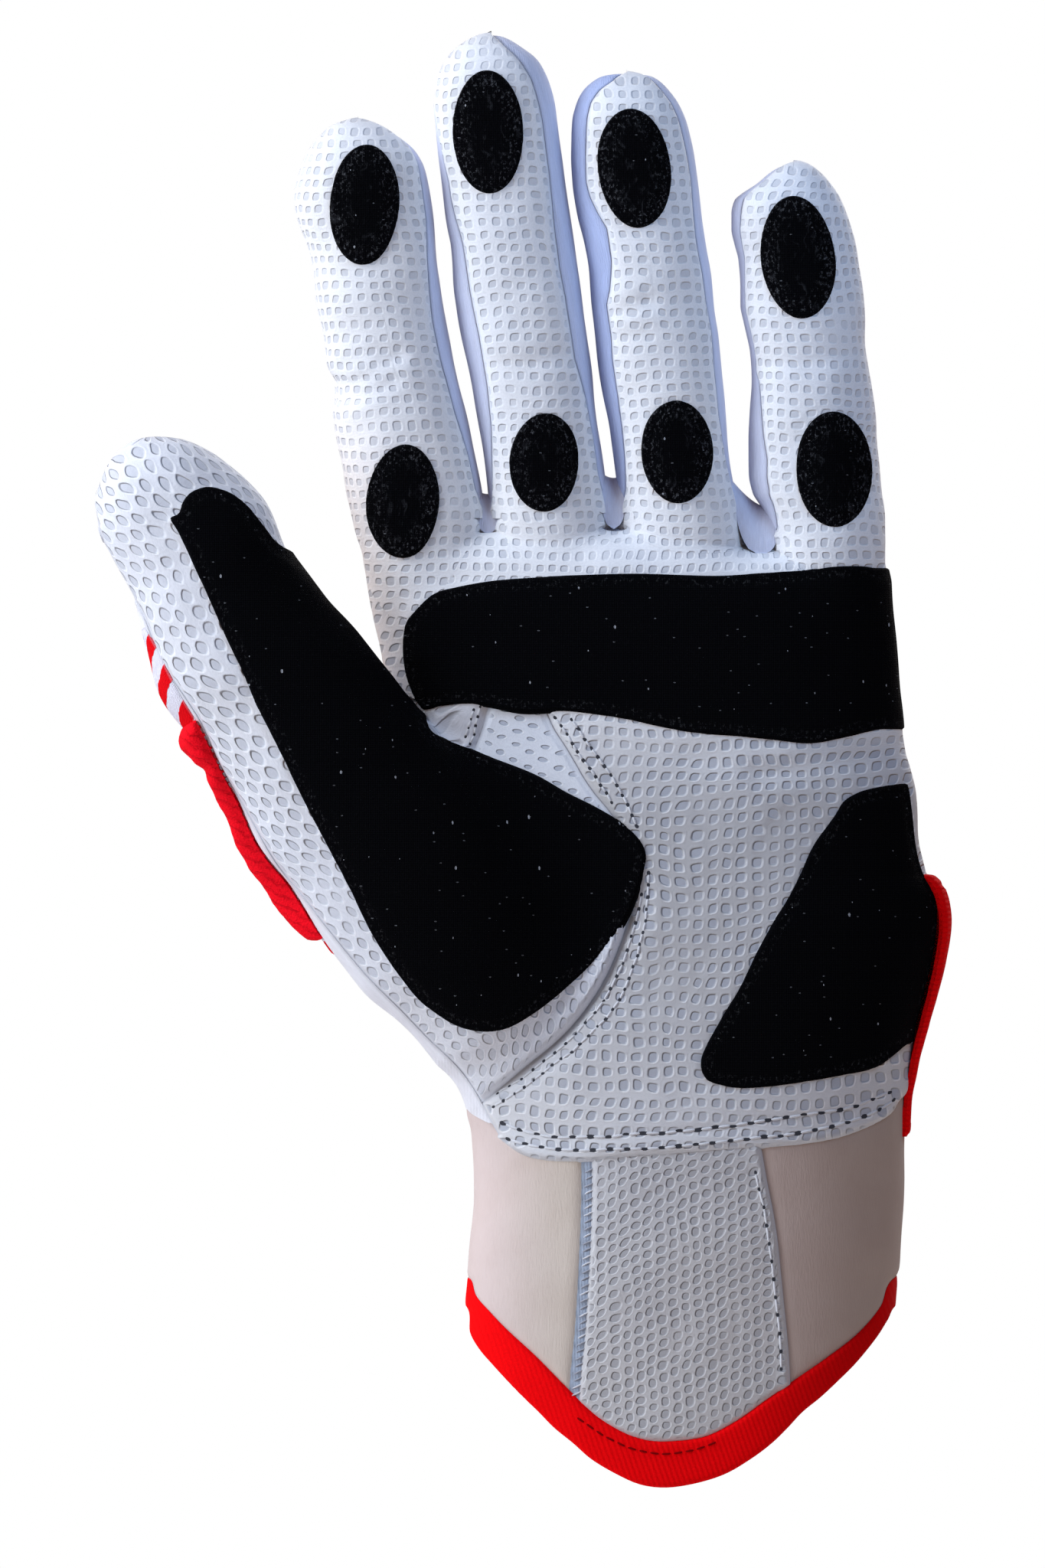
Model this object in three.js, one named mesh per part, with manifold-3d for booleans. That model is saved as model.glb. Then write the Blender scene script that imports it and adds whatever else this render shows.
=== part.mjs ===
// Left-hand batting glove, palm towards -Y, fingers up (+Z), thumb towards -X.
// Millimetres. The origin is the middle of the wrist opening.
// Every panel is a thin shell: the outer form of the gloved hand less an inner form,
// cut into the leather, stretch-fabric and cuff panels that the real glove is sewn from.
import * as THREE from "three";
import { mergeVertices } from "three/addons/utils/BufferGeometryUtils.js";
import Module from "manifold-3d";

const wasm = await Module();
wasm.setup();

// ---------- driving dimensions (mm) ----------
const WALL = 1.3; // leather or fabric with its lining
const GAP = 0.32; // sewing gap between two panels
const PAD_RISE = 0.3; // grip patch stands clear of the leather by this
const PAD_T = 0.9; // grip patch thickness
const SIDE_FRONT = -5.2; // where leather meets the finger side strip
const SIDE_BACK = 4.4; // where the side strip meets the back fabric
const CURL = 6.5; // forward lean of the fingertips
const CURL_FROM = 132; // height where the lean starts
const CURL_SPAN = 88;
const STEP = 0.132; // drawing unit to mm
const OX = 892; // drawing column of the origin
const OZ = 1760; // drawing row of the origin
const X = (c) => (c - OX) * STEP;
const Z = (r) => (OZ - r) * STEP;
const SIDES = 16; // points round a finger

// finger outline tables: row, left, right (drawing units)
const FINGERS = {
  index: {
    rows: [
      [860, 492, 655], [740, 474, 646], [683, 464, 635], [560, 441, 617], [480, 431, 598], [400, 419, 582],
      [310, 393, 571], [262, 388, 565], [215, 396, 556], [182, 416, 527], [164, 446, 498],
    ],
    tip: 157,
    base: [[560, 716], -0.3],
    mid: [[514, 478], -0.17],
    outer: -1,
    ovalBase: [527, 655, 47, 75, 3],
    ovalTip: [477, 270, 46, 80, 3],
  },
  middle: {
    rows: [
      [860, 640, 800], [740, 639, 800], [680, 637, 798], [560, 624, 783], [455, 606, 771], [360, 590, 758],
      [260, 577, 742], [160, 567, 729], [112, 569, 719], [80, 583, 704], [60, 604, 680],
    ],
    tip: 46,
    base: [[717, 682], -0.1],
    mid: [[690, 455], -0.16],
    outer: 0,
    ovalBase: [711, 606, 46, 67, 2],
    ovalTip: [637, 176, 48, 82, -2],
  },
  ring: {
    rows: [
      [860, 806, 968], [740, 805, 968], [680, 804, 966], [560, 796, 951], [468, 780, 945], [380, 766, 933],
      [290, 749, 919], [200, 744, 909], [155, 747, 898], [124, 760, 878], [106, 783, 856],
    ],
    tip: 96,
    base: [[884, 690], 0],
    mid: [[862, 468], -0.14],
    outer: 0,
    ovalBase: [884, 592, 47, 71, -2],
    ovalTip: [828, 224, 48, 82, -6],
  },
  little: {
    rows: [
      [860, 1000, 1160], [740, 1000, 1156], [690, 992, 1153], [590, 976, 1143], [487, 979, 1132],
      [400, 968, 1124], [320, 958, 1114], [282, 956, 1104], [252, 968, 1090], [232, 990, 1076],
    ],
    tip: 216,
    base: [[1077, 712], 0.02],
    mid: [[1055, 487], -0.14],
    outer: 1,
    ovalBase: [1089, 615, 50, 78, -2],
    ovalTip: [1041, 340, 49, 83, -7],
  },
};
const FINGER_FRONT = 9.6;
const FINGER_BACK = 9.6;
const FINGER_Y = 0.4;

// hand and cuff rows: row, left, right, front y, back y
const PALM = [
  [1960, 604, 1172, -21.5, 21.5], [1700, 607, 1171, -21.5, 21.5], [1560, 619, 1179, -21, 21.3], [1480, 618, 1180, -21.2, 21],
  [1400, 604, 1184, -21.2, 20.4], [1320, 590, 1200, -20.4, 19.8], [1255, 576, 1214, -19.2, 19.2], [1190, 562, 1221, -17.9, 18.7],
  [1130, 550, 1204, -17, 18.3], [1050, 538, 1194, -16, 17.7], [960, 520, 1175, -15, 16.9], [880, 502, 1167, -14.3, 16],
  [800, 491, 1160, -13, 14.6], [750, 482, 1157, -11.3, 13], [715, 488, 1148, -9.4, 10.9],
];

// thumb rings: centre column, centre row, half width, y centre, half depth
const THUMB_DIR = [-0.545, 0.838]; // x, z along the thumb
const THUMB = [
  [664, 1416, 52, -5, 9], [668, 1338, 98, -5.4, 14], [631, 1272, 125, -6, 16.6], [589, 1210, 145, -6.6, 17.6],
  [547, 1148, 148, -7.4, 17.4], [502, 1087, 142, -8.2, 16.6], [452, 1030, 137, -9, 15.4], [410, 968, 127, -9.8, 14.4],
  [365, 907, 126, -10.2, 13.6], [317, 849, 123, -10.4, 12.9], [283, 782, 110, -10.4, 12.2], [255, 710, 105, -10.3, 11.7],
  [232, 680, 100, -10.2, 11.3], [207, 651, 92, -10.1, 10.6], [187, 622, 74, -10, 8.8], [178, 600, 46, -10, 5.6],
];
const THUMB_TIP = [174, 588];
const THUMB_Y = -10;
const THUMB_BASE = [[421, 1018], -0.65]; // hinge line through this point; rows per column
const THUMB_MID = [[299, 812], -0.65];
const THUMB_FRONT_Y = -9.4; // thumb leather meets the back fabric here
const ROOT_SPLIT_Y = 3; // palm leather meets the back panel here

// outlines in drawing units
const THUMB_EDGE = [ // outer edge of the thumb leather
  [100, 560], [130, 700], [165, 770], [188, 810], [208, 862], [240, 910], [262, 945], [285, 1000], [320, 1060],
  [360, 1130], [400, 1180], [433, 1222], [480, 1278], [520, 1318], [560, 1360], [590, 1388], [612, 1415], [640, 1462],
];
const THENAR_SEAM = [ // palm leather meets the thumb leather
  [838, 1098], [840, 1140], [838, 1180], [825, 1250], [805, 1290], [760, 1345], [700, 1395], [665, 1420], [640, 1440], [560, 1490],
];
const INSERT = [ // gusset in the thumb crotch
  [500, 880], [560, 905], [640, 905], [712, 915], [745, 965], [785, 1030], [838, 1098], [800, 1100], [720, 1075], [620, 1040], [540, 1010], [450, 985],
];
const HEM = [ // lower edge of the palm leather
  [540, 1430], [612, 1462], [640, 1480], [660, 1495], [680, 1508], [705, 1515], [760, 1517], [880, 1508], [1000, 1499],
  [1060, 1493], [1100, 1485], [1140, 1470], [1165, 1455], [1180, 1435], [1260, 1400],
];
const BINDING_TOP = [
  [540, 1668], [610, 1668], [620, 1690], [660, 1732], [700, 1768], [740, 1808], [780, 1845], [820, 1868], [850, 1876], [880, 1876],
  [920, 1870], [960, 1850], [1000, 1822], [1080, 1768], [1120, 1738], [1150, 1705], [1167, 1668], [1260, 1668],
];
const BINDING_LOW = [
  [540, 1704], [606, 1704], [613, 1740], [643, 1780], [703, 1840], [748, 1880], [805, 1920], [835, 1933], [865, 1937], [900, 1933],
  [944, 1920], [1006, 1880], [1071, 1820], [1132, 1760], [1160, 1724], [1173, 1704], [1260, 1704],
];
const CUFF_LEFT_SEAM = [[762, 1440], [762, 1518], [764, 1560], [762, 1620], [757, 1680], [752, 1740], [745, 1790], [738, 1990]];
const CUFF_RIGHT_SEAM = [[972, 1440], [980, 1500], [990, 1540], [1000, 1580], [1010, 1620], [1020, 1700], [1026, 1750], [1032, 1990]];
const BAND = [
  [536, 800], [565, 775], [600, 765], [640, 758], [700, 753], [760, 750], [940, 751], [1040, 744], [1120, 738], [1200, 742],
  [1200, 940], [1140, 957], [1100, 966], [1054, 974], [1000, 968], [900, 960], [860, 952], [820, 943], [740, 932],
  [680, 933], [610, 922], [555, 930], [541, 915], [530, 880], [528, 835],
];
const THUMB_GRIP = [
  [224, 678], [235, 672], [244, 650], [272, 637], [290, 640], [320, 654], [340, 675], [362, 700], [400, 720], [470, 790], [545, 880],
  [552, 945], [610, 975], [640, 988], [700, 1012], [740, 1035], [780, 1055], [820, 1080], [838, 1098], [845, 1115], [843, 1135],
  [825, 1190], [808, 1220], [780, 1255], [740, 1290], [700, 1322], [665, 1342], [635, 1347], [600, 1340], [565, 1315],
  [540, 1290], [500, 1240], [460, 1165], [430, 1115], [390, 1040], [360, 970], [325, 895], [290, 820], [262, 750], [235, 700],
];
const HEEL = [
  [1230, 1022], [1187, 1020], [1150, 1025], [1118, 1033], [1098, 1045], [1085, 1065], [1060, 1100], [1040, 1140], [1020, 1180],
  [1000, 1215], [980, 1250], [960, 1290], [940, 1325], [920, 1360], [912, 1380], [912, 1395], [920, 1410], [940, 1418],
  [965, 1422], [1000, 1420], [1060, 1412], [1100, 1405], [1150, 1390], [1183, 1365], [1240, 1345],
];
const GUARD_TOP = 945;
const GUARD_LOW = 1240;
const GUARD_T = 1.9;
const SLIT = [905, 1345, 1.3]; // back opening: column, top row, half width mm
const STRAP = [
  [1300, 1150], [1180, 1158], [1000, 1180], [800, 1215], [730, 1225], [700, 1240], [688, 1268], [688, 1395], [700, 1424],
  [730, 1440], [800, 1450], [1000, 1472], [1180, 1482], [1300, 1470],
];
const STRAP_IN = 2.1;
const STRAP_OUT = 3.3;
const STRAP_EDGE_Y = -5;

// ---------- solids ----------
function solid(geometry) {
  const g = geometry.index ? geometry.toNonIndexed() : geometry.clone();
  const bare = new THREE.BufferGeometry().setAttribute("position", g.getAttribute("position"));
  const m = mergeVertices(bare, 1e-4);
  const build = (tri) =>
    new wasm.Manifold(new wasm.Mesh({ numProp: 3, vertProperties: m.attributes.position.array, triVerts: tri }));
  const tri = new Uint32Array(m.index.array);
  let made = build(tri);
  if (made.volume() < 0) {
    for (let i = 0; i < tri.length; i += 3) [tri[i + 1], tri[i + 2]] = [tri[i + 2], tri[i + 1]];
    made = build(tri);
  }
  return made;
}

// A closed loft through rings of points, all with as many points, with flat fans at both ends.
function loft(rings) {
  const n = rings[0].length;
  const pos = [];
  const tri = (a, b, c) => pos.push(...a, ...b, ...c);
  for (let r = 0; r + 1 < rings.length; r++)
    for (let i = 0; i < n; i++) {
      const j = (i + 1) % n;
      tri(rings[r][i], rings[r][j], rings[r + 1][j]);
      tri(rings[r][i], rings[r + 1][j], rings[r + 1][i]);
    }
  const mid = (ring) => [0, 1, 2].map((k) => ring.reduce((s, p) => s + p[k], 0) / n);
  const a = rings[0], b = rings[rings.length - 1], ma = mid(a), mb = mid(b);
  for (let i = 0; i < n; i++) {
    const j = (i + 1) % n;
    tri(ma, a[j], a[i]);
    tri(mb, b[i], b[j]);
  }
  return solid(new THREE.BufferGeometry().setAttribute("position", new THREE.Float32BufferAttribute(pos, 3)));
}

// The solid under an outline in the x, z plane, between two y values.
function prism(points, y0, y1) {
  const g = new THREE.ExtrudeGeometry(new THREE.Shape(points.map(([x, z]) => new THREE.Vector2(x, z))), {
    depth: y1 - y0, bevelEnabled: false, curveSegments: 1,
  });
  g.rotateX(Math.PI / 2);
  g.translate(0, y1, 0);
  return solid(g);
}
const drawn = (points) => points.map(([c, r]) => [X(c), Z(r)]);
const block = (x0, x1, y0, y1, z0, z1) => {
  const g = new THREE.BoxGeometry(x1 - x0, y1 - y0, z1 - z0);
  g.translate((x0 + x1) / 2, (y0 + y1) / 2, (z0 + z1) / 2);
  return solid(g);
};
// Smooth closed outline through drawing points.
function smooth(points, steps, tension = 0.5) {
  const curve = new THREE.CatmullRomCurve3(
    points.map(([c, r]) => new THREE.Vector3(X(c), Z(r), 0)), true, "catmullrom", tension);
  return curve.getSpacedPoints(steps).slice(0, steps).map((p) => [p.x, p.y]);
}
const oval = ([c, r, hw, hh, tilt], n = 20) => {
  const t = (tilt * Math.PI) / 180, out = [];
  for (let i = 0; i < n; i++) {
    const a = (i / n) * 2 * Math.PI, u = hw * Math.cos(a), v = hh * Math.sin(a);
    out.push([X(c + u * Math.cos(t) + v * Math.sin(t)), Z(r + v * Math.cos(t) - u * Math.sin(t))]);
  }
  return out;
};

// A rounded ring in a level plane; p is the roundness exponent.
function level(xl, xr, yf, yb, z, n, p = 2.2) {
  const xc = (xl + xr) / 2, a = (xr - xl) / 2, yc = (yf + yb) / 2, b = (yb - yf) / 2, ring = [];
  for (let i = 0; i < n; i++) {
    const t = ((i + 0.5) / n) * 2 * Math.PI, c = Math.cos(t), s = Math.sin(t);
    ring.push([
      xc + a * Math.sign(c) * Math.abs(c) ** (2 / p),
      yc + b * Math.sign(s) * Math.abs(s) ** (2 / p), z,
    ]);
  }
  return ring;
}

// grow > 0 outwards
function fingerForm(f, grow, n = SIDES) {
  const top = Z(f.tip), rings = [];
  for (const [row, l, r] of f.rows) {
    const z = Z(row);
    const near = Math.max(0, Math.min(1, (top - z) / 9.5));
    const round = Math.sqrt(1 - (1 - near) ** 2.0);
    const depth = 0.08 + 0.92 * round;
    const slim = 1 - 0.1 * Math.max(0, Math.min(1, (z - 150) / 60));
    const zz = z + grow * (near < 1 ? 1 - near : 0);
    rings.push(level(X(l) - grow, X(r) + grow,
      FINGER_Y - FINGER_FRONT * depth * slim - grow, FINGER_Y + FINGER_BACK * depth * slim + grow, zz, n));
  }
  const last = f.rows[f.rows.length - 1], m = (last[1] + last[2]) / 2, q = (last[2] - last[1]) / 5;
  rings.push(level(X(m - q) - grow * 0.4, X(m + q) + grow * 0.4, FINGER_Y - 1.4 - grow * 0.4, FINGER_Y + 1.4 + grow * 0.4, top + grow, n));
  return loft(rings);
}
function palmForm(grow, n = 28) {
  return loft(PALM.map(([row, l, r, yf, yb], i) =>
    level(X(l) - grow, X(r) + grow, yf - grow, yb + grow, Z(row) + (i === PALM.length - 1 ? grow : i === 0 ? -Math.abs(grow) : 0), n, 2.35)));
}
function thumbForm(grow, n = 18) {
  const [ux, uz] = THUMB_DIR, len = Math.hypot(ux, uz), dx = ux / len, dz = uz / len, sx = dz, sz = -dx;
  const rings = THUMB.map(([c, r, hw, yc, hd], k) => {
    const a = hw * STEP + grow, b = hd + grow, ring = [];
    const ahead = k === 0 ? -grow : 0;
    for (let i = 0; i < n; i++) {
      const t = ((i + 0.5) / n) * 2 * Math.PI, cs = Math.cos(t), sn = Math.sin(t);
      const u = a * Math.sign(cs) * Math.abs(cs) ** (2 / 2.2), v = b * Math.sign(sn) * Math.abs(sn) ** (2 / 2.2);
      ring.push([X(c) + u * sx + ahead * dx, yc + v, Z(r) + u * sz + ahead * dz]);
    }
    return ring;
  });
  const tip = [], [c, r] = THUMB_TIP;
  for (let i = 0; i < n; i++) {
    const t = ((i + 0.5) / n) * 2 * Math.PI;
    const u = (1.4 + grow * 0.3) * Math.cos(t), v = (1.4 + grow * 0.3) * Math.sin(t);
    tip.push([X(c) + u * sx + grow * dx, THUMB_Y + v, Z(r) + u * sz + grow * dz]);
  }
  return loft([...rings, tip]);
}

// Big wedge above (or below) a sloping line in the x, z plane.
function above([[c, r], slope], lift = 0) {
  const x = X(c), z = Z(r), k = -slope; // rise over run in x, z
  const s = Math.hypot(1, k), nx = -k / s, nz = 1 / s, ux = 1 / s, uz = k / s;
  const p = [x + nx * lift, z + nz * lift];
  return prism([
    [p[0] - 300 * ux, p[1] - 300 * uz], [p[0] + 300 * ux, p[1] + 300 * uz],
    [p[0] + 300 * ux + 400 * nx, p[1] + 300 * uz + 400 * nz], [p[0] - 300 * ux + 400 * nx, p[1] - 300 * uz + 400 * nz],
  ], -90, 90);
}
function below(line, drop = 0) {
  const x = X(line[0][0]), z = Z(line[0][1]), k = -line[1];
  const s = Math.hypot(1, k), nx = -k / s, nz = 1 / s, ux = 1 / s, uz = k / s;
  const p = [x - nx * drop, z - nz * drop];
  return prism([
    [p[0] - 300 * ux - 400 * nx, p[1] - 300 * uz - 400 * nz], [p[0] + 300 * ux - 400 * nx, p[1] + 300 * uz - 400 * nz],
    [p[0] + 300 * ux, p[1] + 300 * uz], [p[0] - 300 * ux, p[1] - 300 * uz],
  ], -90, 90);
}

const group = new THREE.Group();
const LEATHER = { color: 0xdfe3ee, roughness: 0.55, metalness: 0 };
const LYCRA = { color: 0xc9d2ef, roughness: 0.85, metalness: 0 };
const BLACK = { color: 0x0b0b0e, roughness: 0.95, metalness: 0 };
const RED = { color: 0xd8121a, roughness: 0.8, metalness: 0 };
const CREAM = { color: 0xd9c9c4, roughness: 0.9, metalness: 0 };
const lean = (z) => (z > CURL_FROM ? CURL * ((z - CURL_FROM) / CURL_SPAN) ** 2 : 0);

// Puts one solid in the group as a named mesh. Only the largest body is kept: a cut can leave crumbs.
function add(name, s, material, lifted = true) {
  const bodies = s.decompose().sort((a, b) => b.volume() - a.volume());
  const m = bodies[0].getMesh(), n = m.numProp, v = new Float32Array(m.numVert * 3);
  for (let i = 0; i < m.numVert; i++) {
    v.set(m.vertProperties.subarray(i * n, i * n + 3), i * 3);
    if (lifted) v[i * 3 + 1] -= lean(v[i * 3 + 2]);
  }
  const g = new THREE.BufferGeometry()
    .setAttribute("position", new THREE.BufferAttribute(v, 3))
    .setIndex(new THREE.BufferAttribute(new Uint32Array(m.triVerts), 1));
  const mesh = new THREE.Mesh(g, new THREE.MeshStandardMaterial(material));
  mesh.name = name;
  group.add(mesh);
  if (bodies.length > 1 && bodies[1].volume() > 1)
    console.error(name, "bodies", bodies.map((b) => b.volume().toFixed(2)).join(" "));
}

// ---------- fingers ----------
const big = 400;
const slab = (y0, y1) => block(-big, big, y0, y1, -big, big);
const h = GAP / 2;
const forms = {};
for (const [name, f] of Object.entries(FINGERS)) {
  const outer = fingerForm(f, 0), inner = fingerForm(f, -WALL);
  forms[name] = { outer, inner };
  const shell = outer.subtract(inner);
  // centre line of the finger, as the edge of a half-space to its right
  const line = f.rows.map(([row, l, r]) => [(l + r) / 2, row]);
  const rightOf = prism(drawn([[line[0][0], 1100], ...line, [line[line.length - 1][0], 0], [2200, 0], [2200, 1100]]), -60, 60);
  const leftOf = prism(drawn([[line[0][0], 1100], [-800, 1100], [-800, 0], [line[line.length - 1][0], 0], ...line.slice().reverse()]), -60, 60);
  const segments = {
    proximal: shell.intersect(above(f.base, h)).intersect(below(f.mid, h)),
    distal: shell.intersect(above(f.mid, h)),
  };
  for (const [part, seg] of Object.entries(segments)) {
    let front = seg.intersect(slab(-60, SIDE_FRONT - h));
    let back = seg.intersect(slab(SIDE_BACK + h, 60));
    const band = seg.intersect(slab(SIDE_FRONT + h, SIDE_BACK - h));
    const wide = seg.intersect(slab(-60, SIDE_BACK - h));
    const strip = (sideRight) => band.intersect(sideRight ? rightOf : leftOf);
    if (f.outer) {
      // leather wraps round the outer side of the index and little fingers
      const mineIsRight = f.outer > 0;
      const keep = mineIsRight ? rightOf : leftOf;
      const shifted = mineIsRight ? rightOf.translate([h, 0, 0]) : leftOf.translate([-h, 0, 0]);
      front = front.add(wide.intersect(shifted));
      const inner = band.intersect(mineIsRight ? leftOf.translate([-h, 0, 0]) : rightOf.translate([h, 0, 0]));
      add(`${name}_side_${part}`, inner, LYCRA);
    } else if (part === "proximal") {
      add(`${name}_side_proximal_radial`, strip(false), LYCRA);
      add(`${name}_side_proximal_ulnar`, strip(true), LYCRA);
    } else add(`${name}_side_distal`, band, LYCRA);
    add(`${name}_front_${part}`, front, LEATHER);
    add(`${name}_back_${part}`, back, LYCRA);
  }
  const skin = fingerForm(f, PAD_RISE + PAD_T).subtract(fingerForm(f, PAD_RISE)).intersect(slab(-60, -2));
  add(`${name}_tip_grip`, skin.intersect(prism(oval(f.ovalTip), -60, 0)).intersect(above(f.mid, h)), BLACK);
  add(`${name}_base_grip`, skin.intersect(prism(oval(f.ovalBase), -60, 0)).intersect(above(f.base, h)), BLACK);
}

// ---------- hand, thumb and cuff ----------
const hand = {};
const forms2 = (grow) => (hand[grow] ??= palmForm(grow).add(thumbForm(grow)));
const stub = (name, grow) => fingerForm(FINGERS[name], grow);
const stubs = (grow) => Object.keys(FINGERS).map((k) => stub(k, grow)).reduce((a, b) => a.add(b));
const columns = [["index", -900, 637], ["middle", 637, 803], ["ring", 803, 994], ["little", 994, 2600]]
  .map(([k, l, r]) => prism(drawn([[l, 2300], [l, 0], [r, 0], [r, 2300]]), -90, 90).intersect(below(FINGERS[k].base, h)))
  .reduce((a, b) => a.add(b));
const handOut = forms2(0).add(stubs(0));
const handIn = forms2(-WALL).add(stubs(-WALL));
const shell = handOut.subtract(handIn);
const west = (points, shift = 0) => prism(drawn([[-900, points[0][1]], ...points, [-900, points[points.length - 1][1]]]).map(([x, z]) => [x + shift, z]), -90, 90);
const wide = (points) => [[-900, points[0][1]], ...points, [2600, points[points.length - 1][1]]];
const over = (points, lift = 0) => prism(drawn([[-900, -200], ...wide(points), [2600, -200]]).map(([x, z]) => [x, z + lift]), -90, 90);
const under = (points, drop = 0) => prism(drawn([[-900, 2400], ...wide(points), [2600, 2400]]).map(([x, z]) => [x, z - drop]), -90, 90);
const front = slab(-90, ROOT_SPLIT_Y - h);
const edgeWest = (shift) => west([[THUMB_EDGE[0][0], -100], ...THUMB_EDGE, [560, 1500]], shift).intersect(over(HEM, h));
const aboveThumb = above(THUMB_BASE, h).intersect(prism(drawn([[-900, 1400], [-900, 200], [500, 200], [552, 930], [552, 952], [300, 1400]]), -90, 90));
const belowThumb = shell.subtract(above(THUMB_BASE, -h).intersect(prism(drawn([[-900, 1400], [-900, 200], [500, 200], [556, 930], [556, 952], [300, 1400]]), -90, 90)));
const root = belowThumb.intersect(columns);

// thumb
const thumbShell = thumbForm(0).subtract(thumbForm(-WALL)).intersect(aboveThumb);
const thumbParts = {
  proximal: thumbShell.intersect(below(THUMB_MID, h)),
  distal: thumbShell.intersect(above(THUMB_MID, h)),
};
for (const [part, seg] of Object.entries(thumbParts)) {
  const frontLeather = seg.intersect(slab(-90, THUMB_FRONT_Y - h)).subtract(edgeWest(h));
  add(`thumb_front_${part}`, frontLeather, LEATHER, false);
  add(`thumb_back_${part}`, seg.intersect(slab(THUMB_FRONT_Y + h, 90).add(edgeWest(-h))), LYCRA, false);
}
const gripForm = (g) => palmForm(g).add(thumbForm(g)).add(stubs(g));
const gripSkin = gripForm(PAD_RISE + PAD_T).subtract(gripForm(PAD_RISE));
const thumbSkin = thumbForm(PAD_RISE + PAD_T).subtract(thumbForm(PAD_RISE)).intersect(prism(drawn(THUMB_GRIP), -90, THUMB_FRONT_Y - 1));
add("thumb_grip_distal", thumbSkin.intersect(above(THUMB_MID, h)), BLACK, false);
add("thumb_grip_proximal", thumbSkin.intersect(below(THUMB_MID, h)).intersect(above(THUMB_BASE, h)), BLACK, false);
add("thumb_grip_base", gripSkin.intersect(prism(drawn(THUMB_GRIP), -90, -6)).intersect(below(THUMB_BASE, h)), BLACK, false);
const guardSkin = thumbForm(PAD_RISE + GUARD_T).subtract(thumbForm(PAD_RISE))
  .intersect(edgeWest(-0.4)).intersect(prism(drawn([[-900, GUARD_LOW], [-900, GUARD_TOP], [900, GUARD_TOP], [900, GUARD_LOW]]), -90, 2));
add("thumb_guard_upper", guardSkin.intersect(above(THUMB_BASE, h)), RED, false);
add("thumb_guard_lower", guardSkin.intersect(below(THUMB_BASE, h)), RED, false);

// palm side
const rootFront = root.intersect(front).intersect(over(HEM, h));
const insertArea = (s) => prism(drawn(INSERT), -90, 90);
const thumbSide = west([[552, 700], [552, 905], [640, 1040], [838, 1098], ...THENAR_SEAM.slice(1), [560, 2400]]);
const thumbLeather = rootFront.subtract(edgeWest(h)).intersect(west([[500, 860], [500, 985], [552, 1010], [620, 1040 + 2], [720, 1078], [838, 1098 + 3], ...THENAR_SEAM.slice(1), [560, 2400]], -h));
const bottomOfInsert = thumbLeather.subtract(prism(drawn(INSERT), -90, 90).translate([0, 0, -GAP]).add(prism(drawn(INSERT), -90, 90)));
add("thumb_base_leather", bottomOfInsert, LEATHER, false);
const insert = rootFront.intersect(prism(drawn(INSERT), -90, 90)).subtract(edgeWest(h));
add("thumb_crotch_insert", insert, LYCRA, false);
const palmLeather = rootFront
  .subtract(west([[500, 860], [500, 985], [552, 1010], [620, 1042], [720, 1078], [838, 1101], ...THENAR_SEAM.slice(1), [560, 2400]], h))
  .subtract(prism(drawn(INSERT), -90, 90).translate([h * 2, 0, 0]).add(prism(drawn(INSERT), -90, 90).translate([0, 0, GAP])).add(prism(drawn(INSERT), -90, 90)))
  .subtract(edgeWest(h));
add("palm_leather", palmLeather, LEATHER, false);
add("palm_band_grip", gripSkin.intersect(prism(drawn(BAND), -90, 0)), BLACK, false);
add("heel_grip", gripSkin.intersect(prism(drawn(HEEL), -90, STRAP_EDGE_Y - 0.6)), BLACK, false);

// cuff
const bindTop = over(BINDING_TOP, h), backTop = block(-big, big, -90, 90, Z(1668) + h, big);
const cuffFront = root.intersect(front).intersect(under(HEM, h)).intersect(bindTop);
add("cuff_radial_panel", cuffFront.intersect(west(CUFF_LEFT_SEAM, -h)), CREAM, false);
add("cuff_centre_panel", cuffFront.subtract(west(CUFF_LEFT_SEAM, h)).intersect(west(CUFF_RIGHT_SEAM, -h)), LEATHER, false);
add("cuff_ulnar_panel", cuffFront.subtract(west(CUFF_RIGHT_SEAM, h)), CREAM, false);
const slit = block(X(SLIT[0]) - SLIT[2], X(SLIT[0]) + SLIT[2], 5, 90, -big, Z(SLIT[1]));
const backShell = root.intersect(slab(ROOT_SPLIT_Y + h, 90).add(edgeWest(-h))).intersect(backTop).subtract(slit);
add("back_panel", backShell, LYCRA, false);
const bindShell = palmForm(0.4).subtract(palmForm(-WALL - 0.4)).intersect(
  under(BINDING_TOP, h).intersect(over(BINDING_LOW)).intersect(slab(-90, ROOT_SPLIT_Y))
    .add(block(-big, big, ROOT_SPLIT_Y, 90, Z(1704), Z(1668) - h))).subtract(slit);
add("cuff_binding", bindShell, RED, false);

// closure strap
const strapArea = prism(drawn(STRAP), STRAP_EDGE_Y, 90);
const strapRoot = palmForm(STRAP_OUT).subtract(palmForm(0.6)).intersect(strapArea).intersect(block(X(1176), big, -90, 90, -big, big));
const strapRun = palmForm(STRAP_OUT).subtract(palmForm(STRAP_IN)).intersect(strapArea).intersect(slab(0, 90));
add("closure_strap", strapRun.add(strapRoot.intersect(slab(STRAP_EDGE_Y, 60))), RED, false);
const hookArea = prism(drawn([[705, 1262], [830, 1240], [830, 1432], [705, 1412]]), 5, 90);
const loopArea = prism(drawn([[698, 1250], [885, 1225], [885, 1450], [698, 1430]]), 5, 90);
add("strap_hook_patch", palmForm(1.8).subtract(palmForm(1.2)).intersect(hookArea), BLACK, false);
add("strap_loop_patch", palmForm(0.9).subtract(palmForm(0.3)).intersect(loopArea), BLACK, false);

export default group;
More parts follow.
